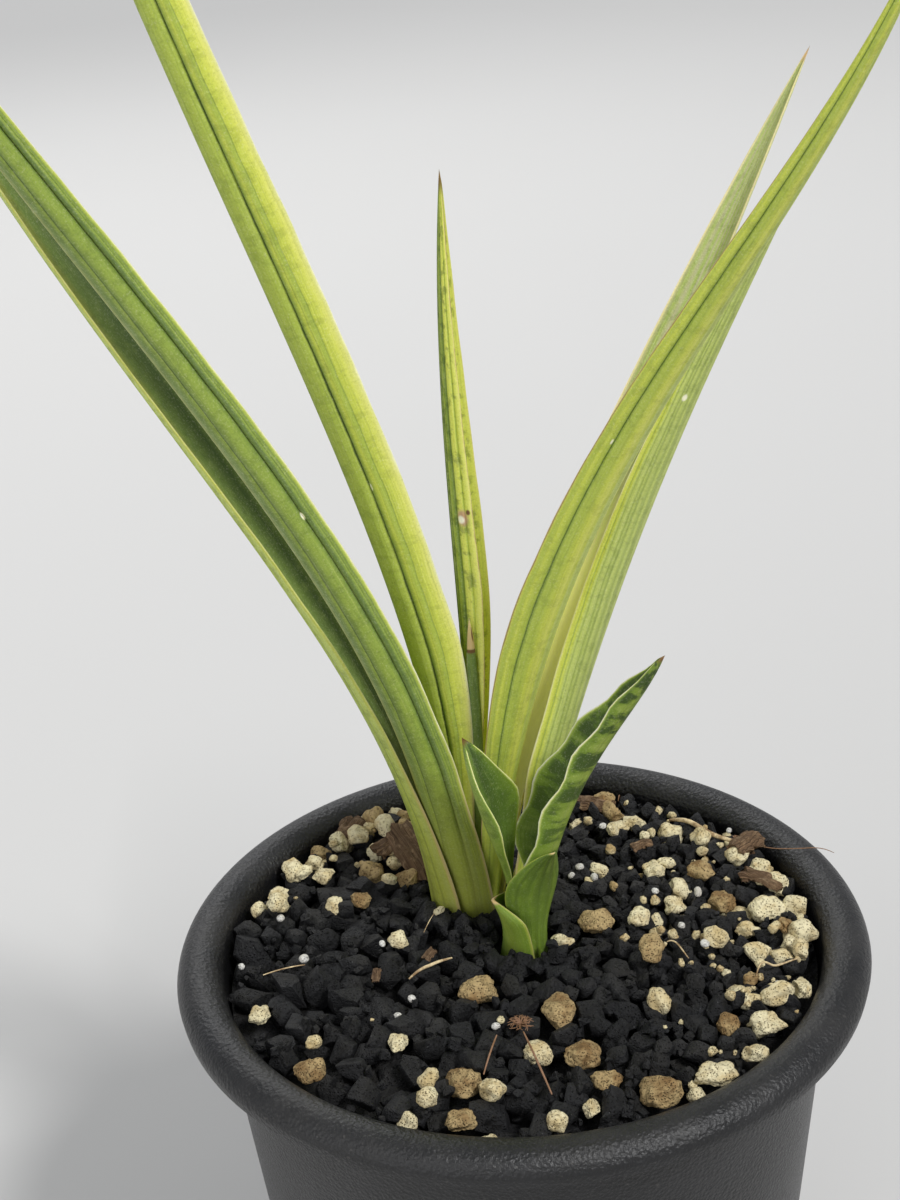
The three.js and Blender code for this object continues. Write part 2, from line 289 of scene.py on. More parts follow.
def makeStoneGrain():
    tree, given, leave = startGroup("stoneGrain", ("Tint", "Height"), Vector=None, Scale=400.0, Pores=0.4)
    place, scale = given["Vector"], given["Scale"]
    coarse = noiseAt(place, times(scale, 0.35), 4, 0.6)
    fine = noiseAt(place, scale, 5, 0.7)
    pits = rescale(cellsAt(place, times(scale, 1.4), "F1"), 0.05, 0.38)
    pitted = times(minus(1.0, pits), given["Pores"])
    body = plus(times(coarse, 0.7), times(fine, 0.45))
    feed(leave, {"Tint": minus(body, times(pitted, 0.35)), "Height": minus(body, pitted)})
    return tree


def makeDustFilm():
    tree, given, leave = startGroup("dustFilm", ("Mask",), Vector=None, Scale=60.0, Amount=0.5)
    facing = addNode("ShaderNodeSeparateXYZ")
    feed(facing, {0: addNode("ShaderNodeNewGeometry").outputs["Normal"]})
    upward = rescale(facing.outputs["Z"], 0.1, 0.95)
    patches = rescale(noiseAt(given["Vector"], given["Scale"], 5, 0.65), 0.38, 0.66)
    feed(leave, {"Mask": times(times(upward, patches), given["Amount"])})
    return tree


def makeLeafFlow():
    # streaks that run along a leaf and waver a little across it
    tree, given, leave = startGroup(
        "leafFlow", ("Across", "Stripes", "Threads", "Mottle"),
        Across=0.0, Along=0.0, Seed=0.0, Waver=0.02, Breadth=3.5, Crossing=0.42)
    across, along, seed = given["Across"], given["Along"], given["Seed"]
    swing = minus(noiseAt(placeOf(times(across, 1.2), times(along, 0.11), seed), 1.0, 3, 0.6), 0.5)
    across = plus(across, times(swing, given["Waver"]))
    feed(leave, {"Across": across})
    for label, crossing, running, detail in (
        ("Stripes", 8.0, 0.006, 3), ("Threads", 36.0, 0.025, 2), ("Mottle", given["Breadth"], given["Crossing"], 4),
    ):
        place = placeOf(times(across, crossing), times(along, running), plus(seed, crossing))
        feed(leave, {label: noiseAt(place, 1.0, detail, 0.6)})
    return tree


def makeSpotAt():
    tree, given, leave = startGroup(
        "spotAt", ("Mask",), Across=0.0, Along=0.0, Side=0.0, Height=0.0, Width=0.1, Length=1.0)
    sideways = maths("DIVIDE", minus(given["Across"], given["Side"]), given["Width"])
    upward = maths("DIVIDE", minus(given["Along"], given["Height"]), given["Length"])
    far = maths("SQRT", plus(times(sideways, sideways), times(upward, upward)))
    feed(leave, {"Mask": rescale(far, 1.0, 0.45)})
    return tree


stoneGrain = makeStoneGrain()
dustFilm = makeDustFilm()
leafFlow = makeLeafFlow()
spotAt = makeSpotAt()
print("shared effects ready")

# the pot: radii and heights in mm

pot = dict(
    sides=144, edgeAngle=35,
    height=128, neckHeight=121.4, neckRadius=66.6, baseRadius=55, wall=2, floor=2.6,
    footRings=[(54, 0), (54.7, 0.25)], outerHeights=(1, 30, 60, 90, 112, 119.5), innerHeights=(112, 60, 4.4),
    rollCentre=69.8, rollDrop=5.1, rollWidth=5.2, rollSteps=20,
    curlWidth=3, curlHeight=2.9, curlSteps=8, lipRings=[(72.9, 121.9), (73.2, 121.4), (73.9, 121.3), (74.6, 121.6)],
    mouthRadius=64.6, mouthRing=(64.5, 120.5),
    drainCount=6, drainRadius=4, drainCircle=36, drainSides=28, drillDepth=12,
    black=srgb(9, 9, 10), worn=srgb(20, 20, 22), dust=srgb(104, 100, 95),
    leatherScale=1250.0, fineScale=3200.0, speckScale=900.0, shadeScale=40.0, dustScale=55.0, bump=0.00024,
)


def potWall(height):
    return lerp(pot["baseRadius"], pot["neckRadius"], height / pot["neckHeight"])


def potProfile():
    rollHeight = pot["height"] - pot["rollDrop"]

    def rimRing(angle, width, rise):
        return pot["rollCentre"] + width * math.cos(angle), rollHeight + rise * math.sin(angle)

    rings = pot["footRings"] + [(potWall(height), height) for height in pot["outerHeights"]]
    for step in range(pot["curlSteps"] + 1):  # up and over inside the curled rim
        rings.append(rimRing(math.pi * (1 - step / pot["curlSteps"]), pot["curlWidth"], pot["curlHeight"]))
    rings += pot["lipRings"]
    for step in range(1, pot["rollSteps"]):  # the broad roll, from its outside to its inside
        rings.append(rimRing(math.pi * step / pot["rollSteps"], pot["rollWidth"], pot["rollDrop"]))
    rings += [(pot["mouthRadius"], rollHeight), pot["mouthRing"]]
    rings += [(potWall(height) - pot["wall"], height) for height in pot["innerHeights"]]
    corner = potWall(3) - pot["wall"]
    return rings + [(corner - 0.6, pot["floor"] + 0.3), (corner - 1.6, pot["floor"])]


def modelPot():
    rings = potProfile()
    clearSelection()
    bpy.ops.mesh.primitive_circle_add(vertices=pot["sides"], radius=rings[0][0] * mm, fill_type="NGON")
    shell = bpy.context.object
    shell.name = "nursery_pot"
    editMode()
    for (radius, height), (nextRadius, nextHeight) in zip(rings, rings[1:]):
        bpy.ops.mesh.extrude_region_move(TRANSFORM_OT_translate={"value": (0, 0, (nextHeight - height) * mm)})
        grow = nextRadius / radius
        bpy.ops.transform.resize(value=(grow, grow, 1), center_override=(0, 0, nextHeight * mm))
    faceOutward()
    objectMode()
    for number in range(pot["drainCount"]):
        place = (*polar(pot["drainCircle"] * mm, 2 * math.pi * number / pot["drainCount"]), 0)
        clearSelection()
        bpy.ops.mesh.primitive_cylinder_add(
            vertices=pot["drainSides"], radius=pot["drainRadius"] * mm, depth=pot["drillDepth"] * mm, location=place)
        drill = bpy.context.object
        cut = shell.modifiers.new("drain", "BOOLEAN")
        cut.operation, cut.solver, cut.object = "DIFFERENCE", "EXACT", drill
        applyModifiers(shell)
        discard([drill])
    edgedShading(shell, pot["edgeAngle"])
    return shell


def potPlastic():
    material, shader = startMaterial("blackPotPlastic", 0.36, 0.5)
    place = objectPlace()
    cells = cellsAt(place, pot["leatherScale"], "SMOOTH_F1", Smoothness=0.5)
    fine = noiseAt(place, pot["fineScale"], 2, 0.6)
    film = useGroup(dustFilm, Vector=place, Scale=pot["dustScale"], Amount=0.4)["Mask"]
    speck = rescale(noiseAt(place, pot["speckScale"], 2, 0.4), 0.69, 0.76)
    shade = rescale(noiseAt(place, pot["shadeScale"], 4, 0.6), 0.35, 0.7)
    body = mixTones(shade, pot["black"], pot["worn"])
    body = mixTones(rescale(fine, 0.5, 0.7, 0, 0.5), body, pot["worn"])
    dusty = maths("ADD", times(film, 0.22), times(speck, 0.2), clamp=True)
    feed(shader, {"Roughness": plus(rescale(fine, 0.35, 0.68, 0.3, 0.46), times(film, 0.2))})
    finishSkin(shader, mixTones(dusty, body, pot["dust"]), plus(cells, times(fine, 0.7)), pot["bump"], 0.8)
    return material


dress(modelPot(), potPlastic(), "pot_plastic", "pot")
print("pot ready")

# the pumice: flats are how far out a stone is cut, lumps, ripples and pits how deep its surface moves,
# all for a stone of radius 1

pumice = dict(
    seed=17, lumpScale=1.2, rippleScale=4, poreScale=3.2, poreReach=0.42,
    # the hollow tones are painted shade for pits, pores and dents
    tan=dict(seed=5, kinds=7, cuts=4, flats=(0.68, 0.88), lumps=0.36, ripples=0.09, pits=0.13, mesh=0.075,
             light=srgb(188, 164, 118), dark=srgb(142, 113, 74), hollowShade=srgb(82, 62, 38), grain=1500.0),
    cream=dict(seed=8, kinds=8, cuts=5, flats=(0.62, 0.86), lumps=0.42, ripples=0.08, pits=0.08, mesh=0.075,
               light=srgb(236, 225, 186), dark=srgb(208, 187, 138), hollowShade=srgb(150, 122, 78), grain=1500.0),
    lump=dict(seed=4, kinds=10, cuts=4, flats=(0.66, 0.88), lumps=0.34, ripples=0.08, pits=0.05, mesh=0.15),
    crumb=dict(seed=3, kinds=8, cuts=4, flats=(0.6, 0.86), lumps=0.4, ripples=0, pits=0, mesh=0.36,
               light=srgb(232, 218, 174), dark=srgb(190, 162, 112), hollowShade=srgb(150, 122, 78), grain=1900.0),
    prill=dict(seed=2, kinds=2, cuts=1, flats=(0.9, 0.95), lumps=0.1, ripples=0, pits=0, mesh=0.34,
               light=srgb(240, 238, 232), dark=srgb(214, 208, 194), hollowShade=srgb(190, 182, 164), grain=2400.0),
)


def cutFlats(draw, cuts, near, far):
    editMode()
    for cut in range(cuts):  # each cut breaks off one side and closes it
        way = Vector((draw.gauss(0, 1), draw.gauss(0, 1), draw.gauss(0, 1))).normalized()
        selectMesh()
        bpy.ops.mesh.bisect(plane_co=way * draw.uniform(near, far), plane_no=way, use_fill=True, clear_outer=True)


def stoneKinds(spec):
    kinds = []
    draw = random.Random(spec["seed"])
    for number in range(spec["kinds"]):
        clearSelection()
        bpy.ops.mesh.primitive_ico_sphere_add(subdivisions=3, radius=1)
        stone = bpy.context.object
        cutFlats(draw, spec["cuts"], *spec["flats"])
        objectMode()
        even = stone.modifiers.new("even", "REMESH")
        even.mode, even.voxel_size = "VOXEL", spec["mesh"]
        applyModifiers(stone)
        shift = Vector((draw.uniform(0, 50), draw.uniform(0, 50), draw.uniform(0, 50)))
        hollowShades = []
        for vertex in stone.data.vertices:
            place = vertex.co.copy()
            swell = spec["lumps"] * noise.noise(place * pumice["lumpScale"] + shift)
            swell += spec["ripples"] * noise.noise(place * pumice["rippleScale"] + shift)
            away = noise.voronoi(place * pumice["poreScale"] + shift)[0][0]
            pore = max(0, 1 - away / pumice["poreReach"]) ** 2 if spec["pits"] else 0
            vertex.co = place * (1 + swell - spec["pits"] * pore)
            # painted shade: the deeper a point lies in a pit or dent, the darker it is painted
            hollowShades.append(min(1, max(0, 0.9 * pore - 6 * min(swell, 0) * spec["pits"])))
        writeAttribute(stone, "hollowShade", hollowShades)
        kinds.append(stone)
    return kinds


def pumiceSkin(name, spec):
    material, shader = startMaterial(name, 0.92, 0.2)
    place = objectPlace()
    grain = useGroup(stoneGrain, Vector=place, Scale=spec["grain"], Pores=0.8)
    patch = noiseAt(place, 160.0, 4, 0.65)
    body = mixTones(rescale(patch, 0.4, 0.66), spec["light"], spec["dark"])
    # painted shade: the hollow tone darkens the grain's pores, then the pits and dents
    body = mixTones(rescale(grain["Tint"], 0.6, 0.26, 0, 0.7), body, spec["hollowShade"])
    body = mixTones(times(attributeOf("hollowShade"), 0.75), body, spec["hollowShade"])
    finishSkin(shader, body, grain["Height"], 0.0011, 1.0)
    return material


def placeStones():
    draw = random.Random(pumice["seed"])
    kinds = {tone: stoneKinds(pumice[tone]) for tone in ("tan", "cream")}
    for name in stoneNames:  # each stone fills the box of the solid that it stands for
        tone = name.split("_")[1]
        low, high = (np.array(corner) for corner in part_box(name))
        stone = ownCopy(draw.choice(kinds[tone]))
        stone.name = name.replace("pumice", "stone")
        turn = draw.uniform(0, math.pi)
        across, upward = math.cos(turn), math.sin(turn)
        points = np.array([vertex.co for vertex in stone.data.vertices])
        points = points @ np.array([[across, -upward, 0], [upward, across, 0], [0, 0, 1]])
        points = (points - points.min(0)) / (points.max(0) - points.min(0))
        stone.data.vertices.foreach_set("co", (low + points * (high - low)).ravel())
        stone.data.update()
        roundShading(stone)
        dress(stone, stoneSkins[tone], tone + "_pumice", name)
    discard(kinds["tan"] + kinds["cream"])


stoneNames = sorted(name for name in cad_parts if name.startswith("pumice_"))
stoneSkins = {tone: pumiceSkin(tone + "Pumice", pumice[tone]) for tone in ("tan", "cream")}
placeStones()
print("pumice stones ready")

# the grit, its crumbs and the small white prills, in mm

grit = dict(
    seed=23, kinds=20, cube=1.64, cuts=9, flats=(0.6, 0.86), mergeAngle=12, wear=0.08, edgeAngle=34,
    reach=63.4, core=117.0, top=126.6, cell=0.5, doming=0.74,
    coreFoot=3, coreTop=118.2, coreSides=96, coreFootRadius=53, coreTopRadius=63.8,
    grains=1500, coarse=4.15, fine=2.4, fines=600, fineSizes=(0.6, 1.5), crumbs=150, crumbSizes=(0.5, 1.5),
    mainShoot=(-9, 22, 10.4), offsetShoot=(1, 3, 6.6),
    black=srgb(8, 8, 9), grey=srgb(34, 34, 36), facet=srgb(46, 46, 48), glint=srgb(140, 140, 140),
    dust=srgb(116, 110, 98), darkest=0.0, lightest=0.85,
    # x, y and radius of the smaller stones between the large ones
    creamLumps=[
        (17, 47, 2.4), (19.5, 24, 1.8), (24, 37, 1.4), (25.5, 42, 2.2), (38, 38.5, 2.8), (31, 33.5, 1.3),
        (32, 21.5, 1.9), (35, 25.5, 1.4), (37, 16, 2.9), (26, 2.5, 2.5), (30, 3, 1.4), (49, 6.5, 2.8), (60.6, 4.5, 2.6),
        (59.6, -5, 3), (54, -13.5, 2.2), (54.5, 20, 3), (39, -4, 1.7), (41.5, -7.5, 2.4), (44, -22.5, 2.4),
        (45.5, -27, 1.8), (51, -27, 2.6), (27, -26.5, 2.4), (42.5, -16, 1), (36, 7, 2.6), (45, 12, 2.4), (-30, 54, 1.8),
        (-27, 55, 1.8), (-33.5, 51, 1.9), (-40, 46, 2.3), (-33, 47.5, 2), (-29, 46, 2.4), (-40.5, 43, 2.2),
        (-46, 35, 1.8), (-48.5, 31, 1.7), (-51, 32.5, 2.4), (-53.5, 27.5, 2), (-58, 18, 1.9), (-53.5, 15.5, 2.4),
        (-41, 17, 1.8), (-27.5, 33.5, 2.1), (-28.5, 23, 1.6), (-26.5, 2, 2), (-17.5, 11, 1.2), (-44, -34.5, 1.6),
        (-21, -48, 1.8), (-21.5, -55, 2.1), (-25.5, -55.5, 1.9), (-9, -51, 2.1), (-10, -60, 2), (3, -61, 2),
        (31, -52, 1.8), (-36, 44, 2.4), (58.5, 12, 2.6), (58.5, -14, 2.2), (51, 24, 2.4), (44, 33, 2.2)],
    tanLumps=[
        (25, 48.5, 2.6), (42, 19, 2.6), (-32, 51, 2.5), (-25, 52, 1.8), (-24.5, 47, 2), (23.5, 53, 2.4), (57, -4, 2),
        (47, -20, 1.6), (27, -12, 2.6)],
    prills=[
        (-61, -2), (-47, -5), (-30, -3), (-24, -20), (-7, -30), (-27, -24), (22, 41), (13, 22), (15, 23), (18, 20),
        (40, 9), (39, -9), (52, -24), (51, 35), (-53, 13), (-6, 2), (31, 13), (35, -1)],
)
gritChance = random.Random(grit["seed"])


def grainKinds(wear):
    kinds = []
    draw = random.Random(grit["seed"] + round(100 * wear))
    for number in range(grit["kinds"]):  # crushed rock: flat faces at every angle
        clearSelection()
        bpy.ops.mesh.primitive_cube_add(size=grit["cube"], rotation=(draw.uniform(0, 3), draw.uniform(0, 3), 0))
        grain = bpy.context.object
        applyPlace(grain)
        cutFlats(draw, grit["cuts"], *grit["flats"])
        selectMesh()
        bpy.ops.mesh.dissolve_limited(angle_limit=math.radians(grit["mergeAngle"]))
        objectMode()
        if wear:
            edges = grain.modifiers.new("worn edges", "BEVEL")
            edges.width, edges.segments, edges.limit_method = wear, 1, "ANGLE"
            applyModifiers(grain)
        edgedShading(grain, grit["edgeAngle"])
        kinds.append(grain)
    return kinds


grid = np.arange(-66, 66, grit["cell"])
gridX, gridY = np.meshgrid(grid, grid, indexing="ij")
heights = np.full((len(grid), len(grid)), grit["core"])  # how high the grit lies so far


def raiseHeights(x, y, z, size):
    near = (abs(gridX - x) < size) & (abs(gridY - y) < size)
    squared = size**2 - (gridX[near] - x) ** 2 - (gridY[near] - y) ** 2
    dome = z + grit["doming"] * np.sqrt(np.maximum(squared, 0))
    inside = np.hypot(gridX[near] - x, gridY[near] - y) < size
    patch = heights[near]
    patch[inside] = np.maximum(patch[inside], dome[inside])
    heights[near] = patch


def groundAt(x, y, reach):
    return float(heights[np.hypot(gridX - x, gridY - y) < reach].max())


def buried(x, y, z, size):
    return heights[np.hypot(gridX - x, gridY - y) < 0.8 * size].min() > z + 0.9 * size


def settleGrains(count, sizeAt, barred, tries):
    # each grain tries a few places and takes the lowest, where it rests on what is under its middle
    placed = []
    for number in range(count):
        spots = []
        for attempt in range(tries):
            angle, reach = gritChance.uniform(0, 2 * math.pi), grit["reach"] * math.sqrt(gritChance.random())
            x, y = polar(reach, angle)
            size = sizeAt(x, y)
            if math.hypot(x, y) > grit["reach"] - 0.8 * size or barred(x, y, size):
                continue
            near = (abs(gridX - x) < size) & (abs(gridY - y) < size)
            under = heights[near][np.hypot(gridX[near] - x, gridY[near] - y) < 0.75 * size]
            rest = 0.45 * under.max() + 0.55 * under.mean()
            spots.append((rest + 0.3 * size, x, y, rest + 0.36 * size, size))
        if spots:
            grain = min(spots, key=lambda spot: spot[0])[1:]
            raiseHeights(*grain)
            placed.append(grain)
    return placed


def scatterCopies(name, kinds, placed, tilt):
    copies = []
    for x, y, z, size in placed:
        copy = ownCopy(gritChance.choice(kinds))
        copy.location = (x * mm, y * mm, z * mm)
        copy.rotation_euler = (gritChance.gauss(0, tilt), gritChance.gauss(0, tilt), gritChance.uniform(0, 2 * math.pi))
        copy.scale = [size * mm * gritChance.uniform(*span) for span in ((0.9, 1.24), (0.78, 1.08), (0.66, 0.95))]
        copies.append(copy)
    discard(kinds)
    return joinAll(name, copies)


def scatterStones(name, kind, placed, tilt, skin, slot="cream_pumice"):
    stones = scatterCopies(name, stoneKinds(pumice[kind]), placed, tilt)
    roundShading(stones)
    dress(stones, skin, slot)


def nearShoot(x, y, size):
    return any(math.hypot(x - shootX, y - shootY) < reach + 0.35 * size
               for shootX, shootY, reach in (grit["mainShoot"], grit["offsetShoot"]))


def nearStone(x, y, size):
    return any(math.hypot(x - stoneX, y - stoneY) < reach + 0.62 * size for stoneX, stoneY, reach in stoneRooms)


def grainSize(x, y):
    fineness = smooth((x + 0.7 * y + 46) / 96)  # finer towards the back right
    return lerp(grit["coarse"], grit["fine"], fineness) * gritChance.uniform(0.66, 1.06)


def fineSize(x, y):
    return gritChance.uniform(*grit["fineSizes"])


def crumbSize(x, y):
    return lerp(*grit["crumbSizes"], gritChance.random() ** 1.5)


def grainBarred(x, y, size):
    return nearShoot(x, y, size) or nearStone(x, y, size)


def fineBarred(x, y, size):
    return nearShoot(x, y, size) or nearStone(x, y, 0.4 * size)


def crumbBarred(x, y, size):
    # most crumbs lie by the right of the rim and at the back left
    rightRim = smooth((x - 8) / 46)
    backLeft = smooth((y - 18) / 26) * smooth((14 - x) / 30)
    return grainBarred(x, y, size) or gritChance.random() > max(rightRim, backLeft) ** 1.3 + 0.035


def gritSkin():
    material, shader = startMaterial("blackGrit", 0.62, 0.34)
    place = objectPlace()
    grain = useGroup(stoneGrain, Vector=place, Scale=1100.0, Pores=0.5)
    film = useGroup(dustFilm, Vector=place, Scale=80.0, Amount=0.6)["Mask"]
    body = mixTones(attributeOf("grainTone"), grit["black"], grit["grey"])
    body = mixTones(rescale(grain["Tint"], 0.45, 0.75, 0, 0.5), body, grit["facet"])
    body = mixTones(rescale(noiseAt(place, 2600.0, 2, 0.5), 0.72, 0.78, 0, 0.5), body, grit["glint"])
    finishSkin(shader, mixTones(times(film, 0.12), body, grit["dust"]), grain["Height"], 0.0018, 1.0)
    return material


def toneEachGrain(piece):
    parents = list(range(len(piece.data.vertices)))

    def rootOf(index):
        while parents[index] != index:
            parents[index] = parents[parents[index]]
            index = parents[index]
        return index

    for edge in piece.data.edges:
        a, b = rootOf(edge.vertices[0]), rootOf(edge.vertices[1])
        parents[a] = b
    tones = {}
    writeAttribute(piece, "grainTone", [
        tones.setdefault(rootOf(index), gritChance.uniform(grit["darkest"], grit["lightest"]) ** 2)
        for index in range(len(parents))])


def modelGrit():
    placed = settleGrains(grit["grains"], grainSize, grainBarred, 8)
    placed = [(x, y, z, size) for x, y, z, size in placed if z + 0.7 * size < grit["top"] and not buried(x, y, z, size)]
    grains = scatterCopies("grit_grains", grainKinds(grit["wear"]), placed, 0.5)
    placed = settleGrains(grit["fines"], fineSize, fineBarred, 6)
    fines = scatterCopies("grit_fines", grainKinds(0), placed, 1.2)
    clearSelection()
    bpy.ops.mesh.primitive_cone_add(
        vertices=grit["coreSides"], radius1=grit["coreFootRadius"] * mm, radius2=grit["coreTopRadius"] * mm,
        depth=(grit["coreTop"] - grit["coreFoot"]) * mm, location=(0, 0, (grit["coreTop"] + grit["coreFoot"]) / 2 * mm))
    whole = joinAll("black_grit", [grains, fines, bpy.context.object])
    toneEachGrain(whole)
    dress(whole, gritSkin(), "black_grit", "grit_bed")


def scatterPumice():
    for tone in ("cream", "tan"):
        placed = []
        for x, y, size in grit[tone + "Lumps"]:
            z = groundAt(x, y, 0.5) + 0.22 * size
            raiseHeights(x, y, z, size)
            placed.append((x, y, z, size * 1.12))
        scatterStones(tone + "_lumps", "lump", placed, 0.4, stoneSkins[tone], tone + "_pumice")
    placed = settleGrains(grit["crumbs"], crumbSize, crumbBarred, 10)
    scatterStones("pumice_crumbs", "crumb", placed, 0.6, pumiceSkin("crumbPumice", pumice["crumb"]))
    placed = [(x, y, groundAt(x, y, 0.5) + 0.5, gritChance.uniform(0.75, 1.15)) for x, y in grit["prills"]]
    scatterStones("white_prills", "prill", placed, 0.3, pumiceSkin("prillShell", pumice["prill"]))


stoneRooms = []  # x, y and radius of the large stones
for name in stoneNames:
    low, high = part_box(name)
    middle, half = (low + high) / 2 / mm, (high - low) / 2 / mm
    stoneRooms.append((middle.x, middle.y, (half.x + half.y) / 2))
modelGrit()
scatterPumice()
print("grit ready")

# the leaves, in mm and degrees

greens = dict(
    white=(246, 242, 216), cream=(238, 234, 168), butter=(232, 230, 134), lemon=(216, 220, 100), lime=(204, 212, 84),
    leaf=(180, 195, 80), moss=(150, 170, 70), pine=(116, 138, 62), deep=(66, 88, 34), sage=(160, 176, 86),
    mist=(192, 204, 112), steel=(110, 134, 74), olive=(164, 162, 66), pink=(194, 158, 122), tan=(210, 180, 130),
    bark=(112, 78, 48), grey=(170, 166, 122), fresh=(118, 144, 48), ivy=(80, 108, 36), shade=(50, 74, 26),
)
greens = {name: srgb(*tone) for name, tone in greens.items()}

leafForm = dict(
    soil=123.5, sheathWall=0.7, bladeArc=80, edgeWall=0.9, blunt=0.8, twistEnd=0.6, waveLength=16,
    ripple=0.26, rippleLength=14, around=144, rowLength=3, fewestRows=24, spineSteps=600, edgeAngle=60,
)

mainShoot = dict(x=-9, y=22, sunk=12)
offsetShoot = dict(x=1, y=3, sunk=9)

# What a leaf has unless its own row says otherwise. Grooves are (place, depth, width) across the outer side,
# where -1 and 1 are the two margins. Bands are places and tones across the outer side, and lining is the
# same on the inner side. Spots are (place, height, width, length, tone).
usualLeaf = dict(
    shoot=mainShoot, straight=5, sheath=40, wrap=85, twist=0, wave=0, grooves=[], spots=[], slot="deep_leaf",
    tipTone="tan", dryTip=(0.965, 0.99), papery=0.6, paling=(60.0, 12.0, 0.55), blotches=(0.5, 0.64), breadth=3.5,
    crossing=0.42,
)

